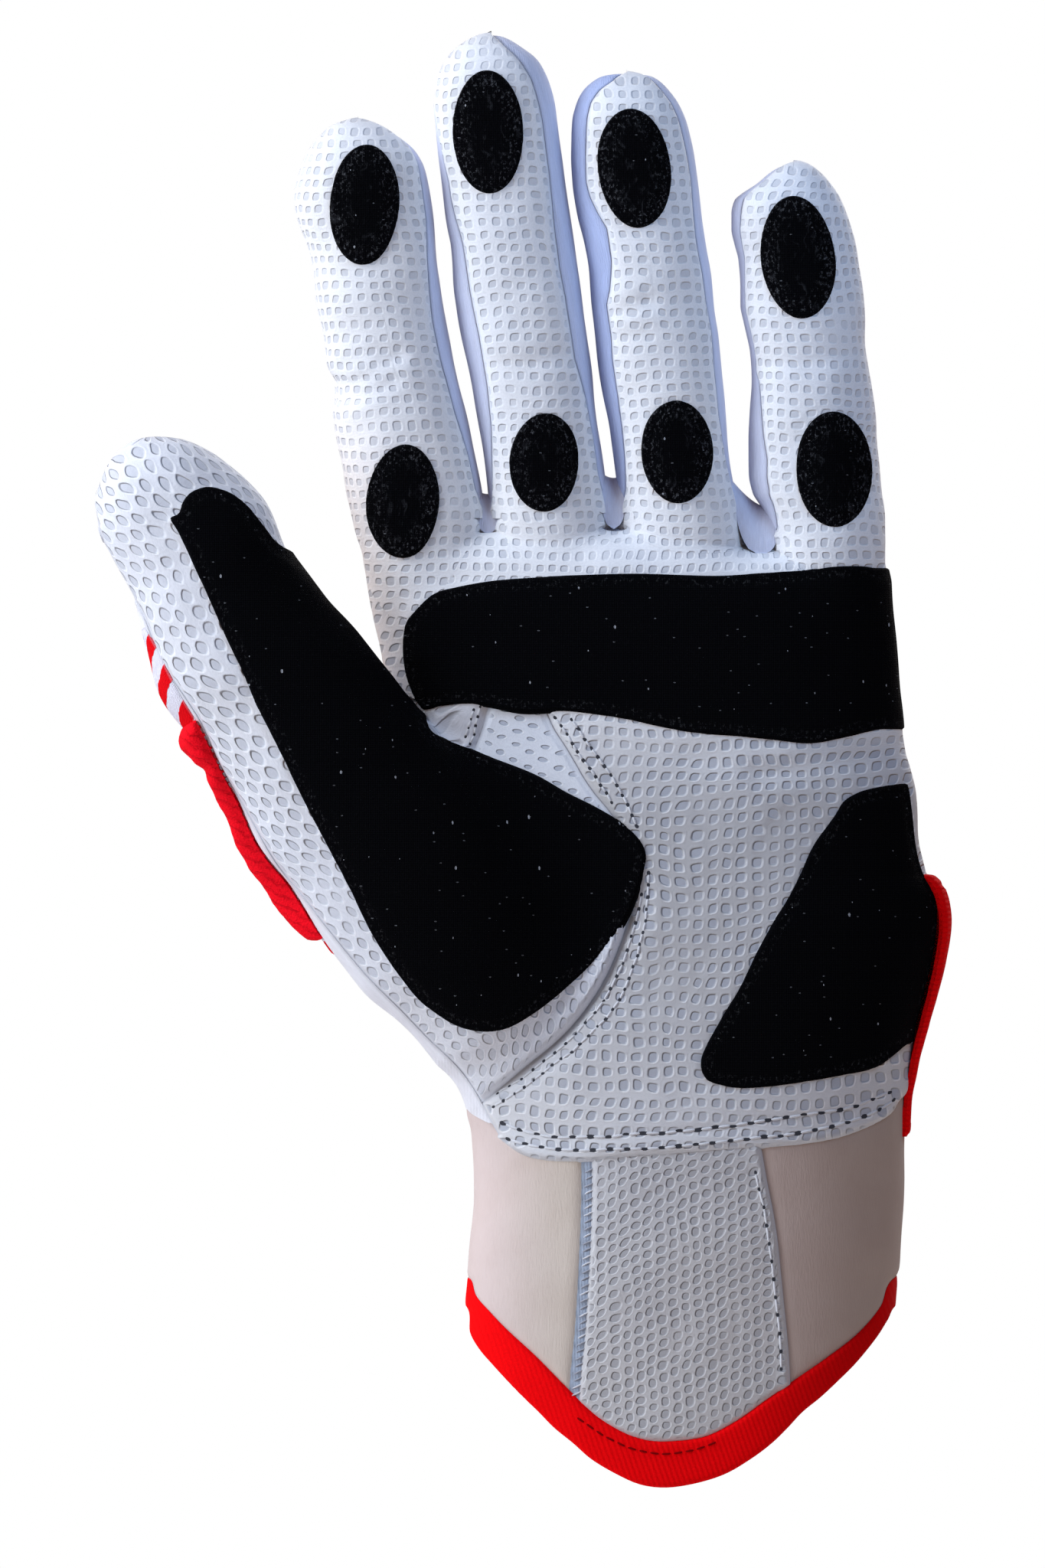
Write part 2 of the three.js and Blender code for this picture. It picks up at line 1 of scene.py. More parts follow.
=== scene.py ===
"""Left-hand batting glove, palm side to the camera: leather, fabric, seams and light.

Everything is worked out in millimetres in the part's own frame (palm towards -Y, fingers +Z, thumb -X)
and turned into metres when a mesh is made. Outlines are in drawing units of 0.132 mm: C is a column, R a row.
The glove's surface is one smooth union of tapering tubes. Every panel is a piece of that surface,
cut out by its own seams, lifted by its thickness and rolled in at its edges.
"""

import bpy
import math
import numpy as np
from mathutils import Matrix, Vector
from mathutils.bvhtree import BVHTree


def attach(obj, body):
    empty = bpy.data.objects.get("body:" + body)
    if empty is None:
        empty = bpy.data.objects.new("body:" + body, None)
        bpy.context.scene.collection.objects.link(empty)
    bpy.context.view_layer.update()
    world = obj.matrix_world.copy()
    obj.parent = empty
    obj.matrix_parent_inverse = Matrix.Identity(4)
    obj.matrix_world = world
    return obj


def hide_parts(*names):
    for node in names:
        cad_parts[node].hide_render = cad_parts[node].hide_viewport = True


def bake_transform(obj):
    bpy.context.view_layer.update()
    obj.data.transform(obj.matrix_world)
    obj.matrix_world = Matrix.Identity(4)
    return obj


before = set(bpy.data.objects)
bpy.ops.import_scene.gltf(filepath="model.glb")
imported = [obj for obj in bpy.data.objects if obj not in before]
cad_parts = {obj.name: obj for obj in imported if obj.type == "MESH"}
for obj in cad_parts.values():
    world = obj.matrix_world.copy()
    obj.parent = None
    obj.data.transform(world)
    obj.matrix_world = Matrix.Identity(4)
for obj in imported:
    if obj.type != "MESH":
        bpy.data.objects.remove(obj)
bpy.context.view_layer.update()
GRID = 0.5  # mm between mesh points

K, OX, OZ = 0.132, 892.0, 1760.0
X = lambda c: (np.asarray(c, float) - OX) * K
Z = lambda r: (OZ - np.asarray(r, float)) * K
COL = lambda x: x / K + OX
ROW = lambda z: OZ - z / K


# ---------------------------------------------------------------- curves
def pchip(x, y, xi):
    """Monotone cubic through (x, y)."""
    x, y, xi = np.asarray(x, float), np.asarray(y, float), np.asarray(xi, float)
    h = np.diff(x)
    d = np.diff(y) / h
    m = np.zeros_like(y)
    m[0], m[-1] = d[0], d[-1]
    for i in range(1, len(x) - 1):
        if d[i - 1] * d[i] > 0:
            w1, w2 = 2 * h[i] + h[i - 1], h[i] + 2 * h[i - 1]
            m[i] = (w1 + w2) / (w1 / d[i - 1] + w2 / d[i])
    xi = np.clip(xi, x[0], x[-1])
    k = np.clip(np.searchsorted(x, xi) - 1, 0, len(x) - 2)
    t = (xi - x[k]) / h[k]
    return (
        y[k] * (1 + 2 * t) * (1 - t) ** 2
        + m[k] * h[k] * t * (1 - t) ** 2
        + y[k + 1] * t * t * (3 - 2 * t)
        + m[k + 1] * h[k] * t * t * (t - 1)
    )


def smoothstep(a, b, x):
    """0 at a and 1 at b, for a above or below b."""
    t = np.clip((np.asarray(x, float) - a) / (b - a), 0, 1)
    return t * t * (3 - 2 * t)


def table(pairs):
    a = np.array(pairs, float)
    return a[:, 0], a[:, 1]


def spline(points, closed=False, step=2.0):
    """A smooth line through drawing points, resampled every step units."""
    p = np.array(points, float)
    if closed:
        p = np.vstack([p[-1], p, p[0], p[1]])
    else:
        p = np.vstack([2 * p[0] - p[1], p, 2 * p[-1] - p[-2]])
    out = []
    for i in range(1, len(p) - 2):
        p0, p1, p2, p3 = p[i - 1 : i + 3]
        n = max(2, int(np.hypot(*(p2 - p1)) / step))
        t = np.linspace(0, 1, n, endpoint=False)[:, None]
        t0, t1, t2, t3 = 0.0, *np.cumsum([max(1e-6, np.hypot(*(b - a))) ** 0.5 for a, b in ((p0, p1), (p1, p2), (p2, p3))])
        s = t1 + t * (t2 - t1)
        a1 = (t1 - s) / (t1 - t0) * p0 + (s - t0) / (t1 - t0) * p1
        a2 = (t2 - s) / (t2 - t1) * p1 + (s - t1) / (t2 - t1) * p2
        a3 = (t3 - s) / (t3 - t2) * p2 + (s - t2) / (t3 - t2) * p3
        b1 = (t2 - s) / (t2 - t0) * a1 + (s - t0) / (t2 - t0) * a2
        b2 = (t3 - s) / (t3 - t1) * a2 + (s - t1) / (t3 - t1) * a3
        out.append((t2 - s) / (t2 - t1) * b1 + (s - t1) / (t2 - t1) * b2)
    out = np.vstack(out)
    return out if closed else np.vstack([out, p[-2]])


def line_distance(c, r, line, closed=False):
    """Distance in mm from each point to a line of drawing points."""
    best = np.full(len(c), 1e9)
    n = len(line) if closed else len(line) - 1
    for i in range(n):
        ax, ay = line[i]
        bx, by = line[(i + 1) % len(line)]
        dx, dy = bx - ax, by - ay
        t = np.clip(((c - ax) * dx + (r - ay) * dy) / max(1e-9, dx * dx + dy * dy), 0, 1)
        best = np.minimum(best, (c - ax - t * dx) ** 2 + (r - ay - t * dy) ** 2)
    return np.sqrt(best) * K


def inside(c, r, poly):
    odd = np.zeros(len(c), bool)
    x0, y0 = poly[-1]
    for x1, y1 in poly:
        if y0 != y1:
            hit = (y0 > r) != (y1 > r)
            odd ^= hit & (c < (x1 - x0) * (r - y0) / (y1 - y0) + x0)
        x0, y0 = x1, y1
    return odd


def poly_distance(c, r, poly):
    """Signed distance in mm, positive inside."""
    d = line_distance(c, r, poly, True)
    return np.where(inside(c, r, poly), d, -d)


def side_distance(c, r, line):
    """Signed distance in mm to a long line that runs downwards: positive to its right."""
    d = line_distance(c, r, line)
    p = np.array(line)
    x = np.interp(r, p[:, 1], p[:, 0]) if np.all(np.diff(p[:, 1]) > 0) else None
    if x is None:
        poly = [(-5000, p[0, 1])] + [tuple(q) for q in p] + [(-5000, p[-1, 1])]
        return np.where(inside(c, r, poly), -d, d)
    return np.where(c > x, d, -d)


def height_distance(c, r, line):
    """Signed distance in mm to a long line that runs from left to right: positive above it."""
    p = np.array(line)
    d = line_distance(c, r, line)
    return np.where(r < np.interp(c, p[:, 0], p[:, 1]), d, -d)


# ---------------------------------------------------------------- noise
def _hash(ix, iy, iz, seed):
    n = (ix.astype(np.int64) * 374761393 + iy.astype(np.int64) * 668265263 + iz.astype(np.int64) * 2147483647 + seed * 1274126177) & 0xFFFFFFFF
    n = ((n ^ (n >> 13)) * 1274126177) & 0xFFFFFFFF
    n = (n ^ (n >> 16)) & 0xFFFFFF
    return n / float(0xFFFFFF) * 2 - 1


def noise3(x, y, z, seed=1):
    """Smooth value noise between -1 and 1."""
    x, y, z = np.broadcast_arrays(np.asarray(x, float), np.asarray(y, float), np.asarray(z, float))
    ix, iy, iz = np.floor(x), np.floor(y), np.floor(z)
    fx, fy, fz = x - ix, y - iy, z - iz
    fx, fy, fz = (t * t * t * (t * (t * 6 - 15) + 10) for t in (fx, fy, fz))
    out = 0
    for a in (0, 1):
        for b in (0, 1):
            for c in (0, 1):
                w = (fx if a else 1 - fx) * (fy if b else 1 - fy) * (fz if c else 1 - fz)
                out = out + w * _hash(ix + a, iy + b, iz + c, seed)
    return out


# ---------------------------------------------------------------- the forms
LEAN, LEAN_FROM, LEAN_SPAN = 6.5, 132.0, 88.0


def lean(z):
    return np.where(z > LEAN_FROM, LEAN * ((z - LEAN_FROM) / LEAN_SPAN) ** 2, 0.0)


FINGER = {
    "index": dict(
        tip=(157, 468),
        left=[(160, 452), (166, 436), (180, 418), (200, 403), (220, 395), (240, 391), (260, 388), (280, 390), (300, 395), (320, 402),
              (340, 408), (360, 412), (400, 418), (440, 426), (470, 429), (485, 434), (500, 441), (520, 441), (540, 438), (560, 440),
              (600, 447), (640, 455), (680, 464), (720, 474), (760, 486), (800, 500), (850, 520)],
        right=[(160, 484), (166, 500), (180, 524), (200, 546), (220, 557), (260, 565), (300, 570), (340, 573), (380, 578), (420, 584),
               (460, 592), (500, 601), (540, 611), (580, 620), (620, 628), (660, 634), (700, 637), (760, 636), (850, 628)],
        seam_left=[(157, 104), (400, 112), (850, 112)],
        seam_right=[(157, 72), (180, 68), (230, 61.6), (290, 61), (330, 57.6), (380, 53.4), (420, 51), (480, 51.6), (540, 54.7), (590, 61),
                    (640, 63), (690, 80), (850, 90)],
        base=((560, 716), -0.3), mid=((514, 478), -0.17), split=600,
    ),
    "middle": dict(
        tip=(46, 642),
        left=[(50, 622), (60, 604), (80, 583), (100, 572), (120, 567), (140, 565), (160, 567), (200, 570), (240, 575), (280, 579),
              (300, 582), (320, 586), (340, 588), (380, 591), (400, 594), (440, 601), (480, 609), (520, 617), (560, 624), (600, 630),
              (640, 635), (680, 638), (760, 646), (850, 656)],
        right=[(50, 662), (60, 680), (80, 704), (100, 715), (120, 722), (140, 727), (160, 730), (200, 735), (240, 740), (280, 746),
               (320, 753), (360, 758), (400, 763), (440, 769), (480, 774), (520, 778), (560, 783), (600, 789), (640, 795), (680, 799),
               (760, 794), (850, 784)],
        seam_left=[(46, 84), (100, 80), (160, 74), (200, 67), (240, 61), (260, 60), (305, 53), (340, 50.5), (380, 47.6), (440, 45.6),
                   (500, 47), (560, 52), (620, 62), (655, 68), (700, 85), (850, 90)],
        seam_right=[(46, 24), (60, 28), (80, 36), (105, 43.6), (160, 47.8), (230, 48.6), (270, 47), (310, 44), (350, 44), (390, 47),
                    (470, 47.6), (520, 58), (570, 62), (620, 61), (665, 68), (700, 85), (850, 90)],
        base=((717, 682), -0.1), mid=((690, 455), -0.16), split=570,
    ),
    "ring": dict(
        tip=(96, 818),
        left=[(100, 786), (106, 775), (120, 760), (140, 750), (160, 745), (180, 744), (200, 744), (240, 746), (280, 752), (320, 761),
              (360, 768), (400, 771), (440, 775), (480, 780), (520, 786), (560, 794), (600, 800), (640, 804), (680, 806), (760, 812), (850, 822)],
        right=[(100, 851), (106, 862), (120, 876), (140, 890), (160, 899), (180, 904), (200, 908), (240, 914), (280, 918), (320, 923),
               (360, 930), (400, 934), (440, 941), (480, 944), (520, 948), (560, 951), (600, 955), (640, 961), (680, 969), (720, 974), (760, 970), (850, 956)],
        seam_left=[(96, 26), (105, 27), (118, 39), (135, 46), (160, 47), (200, 49), (240, 51), (260, 48), (280, 42), (300, 35), (340, 36.7),
                   (380, 43), (400, 48.5), (440, 47), (470, 49), (520, 48.6), (600, 54), (640, 58), (680, 72), (720, 88), (850, 90)],
        seam_right=[(96, 50), (115, 53), (135, 56.7), (170, 58), (240, 61), (310, 57.7), (345, 57.5), (410, 61), (480, 60), (540, 59.6),
                    (600, 66), (640, 71), (690, 78), (730, 90), (850, 90)],
        base=((884, 690), 0.0), mid=((862, 468), -0.14), split=578,
    ),
    "little": dict(
        tip=(214, 1036),
        left=[(218, 1018), (226, 1004), (240, 986), (252, 968), (262, 958), (280, 954), (300, 954), (320, 958), (340, 963), (380, 965),
              (400, 965), (420, 969), (440, 974), (460, 978), (500, 980), (540, 978), (580, 976), (620, 976), (645, 981), (665, 993), (690, 1001),
              (720, 1006), (760, 1012), (850, 1022)],
        right=[(218, 1054), (226, 1066), (240, 1080), (260, 1095), (280, 1104), (300, 1110), (320, 1115), (360, 1120), (400, 1125),
               (440, 1127), (480, 1132), (520, 1137), (560, 1141), (600, 1146), (640, 1149), (680, 1153), (720, 1152), (760, 1146), (850, 1130)],
        seam_left=[(214, 60), (240, 57), (270, 56), (300, 59), (340, 63.6), (380, 66.5), (440, 65), (485, 66), (500, 60), (560, 51), (600, 45),
                   (640, 46), (665, 52), (690, 56), (730, 88), (850, 90)],
        seam_right=[(214, 104), (400, 112), (850, 112)],
        base=((1077, 712), 0.02), mid=((1055, 487), -0.14), split=602,
    ),
}
FRONT, BACK, MID_Y = 9.6, 9.6, 0.4
for f in FINGER.values():
    row0, col0 = f["tip"]
    q = np.linspace(0, math.sqrt(860 - row0), 900)
    lr, lc = table(f["left"])
    rr, rc = table(f["right"])
    f["q"] = q
    f["L"] = pchip(np.r_[0, np.sqrt(lr - row0)], np.r_[col0, lc], q)
    f["R"] = pchip(np.r_[0, np.sqrt(rr - row0)], np.r_[col0, rc], q)


def finger_ring(f, row):
    q = np.sqrt(np.clip(row - f["tip"][0], 0, None))
    l, r = np.interp(q, f["q"], f["L"]), np.interp(q, f["q"], f["R"])
    z, top = Z(row), Z(f["tip"][0])
    near = np.clip((top - z) / 10.5, 0, 1)
    depth = np.sqrt(np.clip(1 - (1 - near) ** 2, 0, 1))
    slim = 1 - 0.1 * np.clip((z - 150) / 60, 0, 1)
    sink = 1 - 0.22 * smoothstep(735, 850, row)
    d = np.maximum(depth * slim * sink, 1e-3)
    return X(l), X(r), MID_Y - FRONT * d, MID_Y + BACK * d


PALM = np.array([
    # row, left, right, front y, back y
    [1975, 603, 1172, -21.5, 21.5], [1700, 607, 1171, -21.5, 21.5], [1640, 613, 1175, -21.3, 21.4], [1560, 619, 1179, -21, 21.3],
    [1480, 618, 1181, -21.2, 21], [1440, 611, 1182, -21.3, 20.7], [1400, 604, 1186, -21.2, 20.4], [1345, 594, 1191, -20.7, 20],
    [1300, 585, 1203, -20, 19.6], [1250, 575, 1216, -19.1, 19.2], [1200, 565, 1223, -18.2, 18.8], [1170, 560, 1221, -17.6, 18.6],
    [1140, 553, 1207, -17.1, 18.4], [1100, 546, 1198, -16.6, 18], [1040, 536, 1194, -15.9, 17.6], [980, 524, 1179, -15.2, 17.1],
    [940, 516, 1175, -14.9, 16.7], [900, 509, 1170, -14.5, 16.2], [860, 501, 1166, -14, 15.7], [800, 492, 1161, -12.9, 14.6],
    [760, 487, 1156, -11.6, 13.3], [735, 488, 1148, -10.9, 12.3], [715, 496, 1138, -10.4, 11.6], [640, 520, 1120, -10, 11],
], float)[::-1]
_rows = np.linspace(640, 1975, 1400)
_palm = [pchip(PALM[:, 0], PALM[:, i], _rows) for i in range(1, 5)]
TOP = 686.0


def palm_top(c):
    """How far the palm's rounded top drops, in rows: the web by the little finger is lower."""
    return 30 * smoothstep(895, 985, c)


def palm_ring(row):
    l, r, yf, yb = (np.interp(row, _rows, v) for v in _palm)
    near = np.clip((row - TOP) / 62, 0, 1)
    d = np.sqrt(np.clip(1 - (1 - near) ** 2, 0, 1))
    d = np.maximum(d, 1e-3)
    yc = (yf + yb) / 2
    return X(l), X(r), yc + (yf - yc) * d, yc + (yb - yc) * d


def unshift(c, row):
    """The row in the palm's own table for a place in the drawing."""
    drop = palm_top(c)
    return np.where(row < TOP + 76, TOP + (row - TOP - drop) * 76 / (76 - drop), row)


def shift(c, row):
    drop = palm_top(c)
    return np.where(row < TOP + 76, TOP + drop + (row - TOP) * (76 - drop) / 76, row)


TX, TZ = -0.545, 0.838
_n = math.hypot(TX, TZ)
TX, TZ = TX / _n, TZ / _n
SX, SZ = TZ, -TX
THUMB = [
    # centre column, centre row, half width, y centre, half depth
    [664, 1416, 52, -5, 9], [668, 1338, 98, -5.4, 14], [631, 1272, 125, -6, 16.6], [589, 1210, 145, -6.6, 17.6],
    [547, 1148, 148, -7.4, 17.4], [502, 1087, 142, -8.2, 16.6], [452, 1030, 137, -9, 15.4], [410, 968, 127, -9.8, 14.4],
    [365, 907, 126, -10.2, 13.6], [317, 849, 123, -10.4, 12.9], [283, 782, 110, -10.4, 12.2], [255, 710, 105, -10.3, 11.7],
    [232, 680, 100, -10.2, 11.3], [207, 651, 92, -10.1, 10.6], [187, 622, 74, -10, 8.8], [178, 600, 46, -10, 5.6],
]
THUMB_TIP = (174, 588)
_t = np.array([[X(c) * TX + Z(r) * TZ, X(c) * SX + Z(r) * SZ, w * K, y, d] for c, r, w, y, d in THUMB])
_tip = X(THUMB_TIP[0]) * TX + Z(THUMB_TIP[1]) * TZ
THUMB_END = float(_tip) + 0.6
_q = np.sqrt(np.clip(THUMB_END - _t[:, 0], 0, None))[::-1]
_qs = np.linspace(0, _q[-1] + 0.6, 900)
_thumb = [
    pchip(np.r_[0, _q], np.r_[first, _t[::-1, i]], _qs)
    for i, first in ((1, float(X(THUMB_TIP[0]) * SX + Z(THUMB_TIP[1]) * SZ)), (2, 0.0), (3, -10.0), (4, 0.0))
]


def thumb_ring(along):
    q = np.sqrt(np.clip(THUMB_END - along, 0, None))
    s, a, y, b = (np.interp(q, _qs, v) for v in _thumb)
    low = smoothstep(_t[0, 0] - 4, _t[0, 0] + 10, along)
    return s, np.maximum(a * (0.3 + 0.7 * low), 0.02), y, np.maximum(b * (0.3 + 0.7 * low), 0.02)


THUMB_BASE = ((421, 1018), -0.65)
THUMB_MID = ((299, 812), -0.65)


def line_height(line, x, z):
    """Distance in mm above a sloping line in the x, z plane."""
    (c, r), slope = line
    k = -slope
    s = math.hypot(1, k)
    return ((z - Z(r)) - k * (x - X(c))) / s


def ring_sdf(du, dv, a, b, p):
    g = ((np.abs(du) / a) ** p + (np.abs(dv) / b) ** p) ** (1 / p)
    r = np.hypot(du, dv)
    return np.where(g > 1e-5, r * (1 - 1 / np.maximum(g, 1e-5)), -np.minimum(a, b))


def sdf_finger(k, P):
    f = FINGER[k]
    row = ROW(P[:, 2])
    xl, xr, yf, yb = finger_ring(f, np.minimum(row, 860))
    d = ring_sdf(P[:, 0] - (xl + xr) / 2, P[:, 1] - (yf + yb) / 2, np.maximum((xr - xl) / 2, 0.05), (yb - yf) / 2, 2.2)
    return np.where(row > 850, np.maximum(d, (row - 850) * K), d)


def sdf_palm(P):
    row = unshift(COL(P[:, 0]), ROW(P[:, 2]))
    xl, xr, yf, yb = palm_ring(np.maximum(row, TOP + 0.4))
    d = ring_sdf(P[:, 0] - (xl + xr) / 2, P[:, 1] - (yf + yb) / 2, (xr - xl) / 2, np.maximum((yb - yf) / 2, 0.25), 2.35)
    above = np.clip((TOP + 0.4 - row) * K, 0, None)
    return np.where(above > 0, np.hypot(np.maximum(d, 0), above), d)


def sdf_thumb(P):
    along = P[:, 0] * TX + P[:, 2] * TZ
    s, a, y, b = thumb_ring(along)
    d = ring_sdf(P[:, 0] * SX + P[:, 2] * SZ - s, P[:, 1] - y, a, b, 2.2)
    low = _t[0, 0] - 3 - along
    return np.where(low > 0, np.maximum(d, low), d)


def smin(a, b, k):
    k = np.maximum(k, 1e-3)
    h = np.clip(k - np.abs(a - b), 0, None)
    return np.minimum(a, b) - h * h / (4 * k)


def apart(P):
    """Above the thumb's base fold the thumb and the hand are separate forms."""
    return 30 * smoothstep(1.0, 7.0, line_height(THUMB_BASE, P[:, 0], P[:, 2]))


def union(P, family):
    up = apart(P)
    palm, thumb = sdf_palm(P), sdf_thumb(P)
    k = 11.0 * (1 - smoothstep(-16, 2, line_height(THUMB_BASE, P[:, 0], P[:, 2])))
    if family == "thumb":
        return smin(thumb, palm + up, k)
    f = smin(palm, thumb + up, k)
    row = ROW(P[:, 2])
    kf = 3.2 * smoothstep(650, 705, row)
    near = np.nonzero(row < 870)[0]
    if len(near):
        g = f[near]
        for name in FINGER:
            g = smin(g, sdf_finger(name, P[near]), kf[near])
        f = f.copy()
        f[near] = g
    return f


def settle(P, family, rounds=5):
    """Moves points on to the smooth union's surface."""
    P = P.copy()
    e = 0.12
    for _ in range(rounds):
        f = union(P, family)
        g = np.stack([(union(P + np.eye(3)[i] * e, family) - union(P - np.eye(3)[i] * e, family)) / (2 * e) for i in range(3)], 1)
        n2 = np.maximum((g * g).sum(1), 0.05)
        step = np.clip(f / n2, -2.5, 2.5)
        P -= step[:, None] * g
    return P


# ---------------------------------------------------------------- surfaces
# A surface is (A, T): A holds one row for each point, T the triangles.
COLS = ["x", "y", "z", "nx", "ny", "nz", "C", "R", "yr", "om", "sg", "arc", "mer", "al", "own", "u", "v", "d", "rad"]
I = {n: i for i, n in enumerate(COLS)}


def grid_triangles(nr, nc, flip=False):
    r, c = np.meshgrid(np.arange(nr - 1), np.arange(nc), indexing="ij")
    a, b = r * nc + c, r * nc + (c + 1) % nc
    d, e = (r + 1) * nc + c, (r + 1) * nc + (c + 1) % nc
    t = np.concatenate([np.stack([a, b, e], -1).reshape(-1, 3), np.stack([a, e, d], -1).reshape(-1, 3)])
    return t[:, ::-1] if flip else t


def point_normals(P, T):
    n = np.cross(P[T[:, 1]] - P[T[:, 0]], P[T[:, 2]] - P[T[:, 0]])
    out = np.zeros_like(P)
    for i in range(3):
        for j in range(3):
            out[:, j] += np.bincount(T[:, i], n[:, j], len(P))
    return out / np.maximum(np.linalg.norm(out, axis=1, keepdims=True), 1e-12)


def superellipse(t, p):
    c, s = np.cos(t), np.sin(t)
    return np.sign(c) * np.abs(c) ** (2 / p), np.sign(s) * np.abs(s) ** (2 / p)


def even_rows(row, radius, step):
    """Rows spaced evenly along the outline."""
    s = np.r_[0, np.cumsum(np.hypot(np.diff(row) * K, np.diff(radius)))]
    n = int(s[-1] / step) + 1
    return np.interp(np.linspace(0, s[-1], n), s, row), np.linspace(0, s[-1], n)


def around(n, p):
    """Angles with equal spacing round a superellipse, starting at the back."""
    t = np.linspace(0, 2 * math.pi, 4001)
    u, v = superellipse(t, p)
    s = np.r_[0, np.cumsum(np.hypot(np.diff(u), np.diff(v)))]
    return np.interp((np.arange(n) + 0.5) / n * s[-1], s, t) + math.pi / 2


def gradient(P, family, e=0.12):
    g = np.stack([union(P + np.eye(3)[i] * e, family) - union(P - np.eye(3)[i] * e, family) for i in range(3)], 1)
    return g / np.maximum(np.linalg.norm(g, axis=1, keepdims=True), 1e-9)


def finish_surface(P, T, family, project):
    """Puts points on the union. Returns them, their normals, and which of them lie in a fold of the mesh."""
    n = point_normals(P, T)
    bad = np.zeros(len(P), bool)
    if project is not None and project.any():
        P[project] = settle(P[project], family)
        n = point_normals(P, T)
        g = gradient(P[project], family)
        bad[project] = (n[project] * g).sum(1) < 0.35
        n[project] = g
    return P, n, bad


_pz = np.linspace(-40, 240, 1200)
_pitch_u = 2.12 + 0.48 * (1 - smoothstep(96, 142, _pz))
_pitch_v = 2.2 + 0.34 * (1 - smoothstep(96, 142, _pz))
_cells_v = np.concatenate([[0], np.cumsum(np.diff(_pz) / _pitch_v[1:])])


def cells(x, z):
    """Lattice coordinates of the leather's net, one unit to a pit, for a place on the palm side."""
    turn = 1.2 * smoothstep(70, 20, z) * 0
    u = (x - X(860)) / np.interp(z, _pz, _pitch_u)
    v = np.interp(z, _pz, _cells_v)
    low = 1 - smoothstep(30, 95, z)
    mid = smoothstep(25, 60, z) * (1 - smoothstep(80, 120, z))
    v = v + 0.010 * low * (x - X(860)) - 0.0009 * mid * (x - X(860)) ** 2
    u = u + 0.012 * low * (z - 60)
    return u, v


def make_finger(name):
    f = FINGER[name]
    row0 = f["tip"][0]
    q = np.linspace(0, math.sqrt(850 - row0), 3000)
    dense = row0 + q * q
    xl, xr, yf, yb = finger_ring(f, dense)
    rows, mer = even_rows(dense, ((xr - xl) / 2 + (yb - yf) / 2) / 2, GRID)
    nc = int(62 / GRID)
    t = around(nc, 2.2)
    u, v = superellipse(t, 2.2)
    xl, xr, yf, yb = finger_ring(f, rows)
    a, b = (xr - xl) / 2, (yb - yf) / 2
    P = np.stack([((xl + xr) / 2)[:, None] + a[:, None] * u, ((yf + yb) / 2)[:, None] + b[:, None] * v, np.repeat(Z(rows)[:, None], nc, 1)], -1).reshape(-1, 3)
    T = grid_triangles(len(rows), nc)
    if (np.cross(P[T[:, 1]] - P[T[:, 0]], P[T[:, 2]] - P[T[:, 0]]) * (P[T[:, 0]] - P.mean(0))).sum() < 0:
        T = T[:, ::-1]
    rr = np.repeat(rows, nc)
    P, n, bad = finish_surface(P, T, "hand", rr > 640)
    A = np.zeros((len(P), len(COLS)))
    om = np.degrees(np.arccos(np.clip(-v, -1, 1)))  # 0 at the front, 180 at the back
    om = np.degrees(np.arctan2(np.abs(u), -v))
    A[:, 9] = np.tile(om, len(rows))
    A[:, 10] = np.tile(np.sign(u), len(rows))
    A[:, 18] = np.repeat(np.sqrt(np.maximum(a * b, 1e-4)), nc)
    A[:, 12] = np.repeat(mer, nc)
    fill(A, P, n)
    own = np.full(len(P), 9.0)
    m = A[:, 7] > 640
    mine = sdf_finger(name, P[m])
    other = sdf_palm(P[m])
    for o in FINGER:
        if o != name:
            other = np.minimum(other, sdf_finger(o, P[m]))
    own[m] = other - mine
    own[bad] = -2.0
    A[:, I["own"]] = own
    centre = (xl + xr) / 2
    straight = smoothstep(640, 720, A[:, 7])
    arc = A[:, 10] * np.radians(A[:, 9]) * A[:, 18]
    off = P[:, 0] - np.repeat(centre, nc)
    home = np.interp(700, rows, centre) + arc * (1 - straight) + off * straight
    A[:, I["u"]], A[:, I["v"]] = cells(home, P[:, 2])
    A[:, I["arc"]] = arc
    return A, T


def fill(A, P, n):
    A[:, 0:3], A[:, 3:6] = P, n
    A[:, 6], A[:, 7], A[:, 8] = COL(P[:, 0]), ROW(P[:, 2]), P[:, 1]
    A[:, I["al"]] = line_height(THUMB_BASE, P[:, 0], P[:, 2])


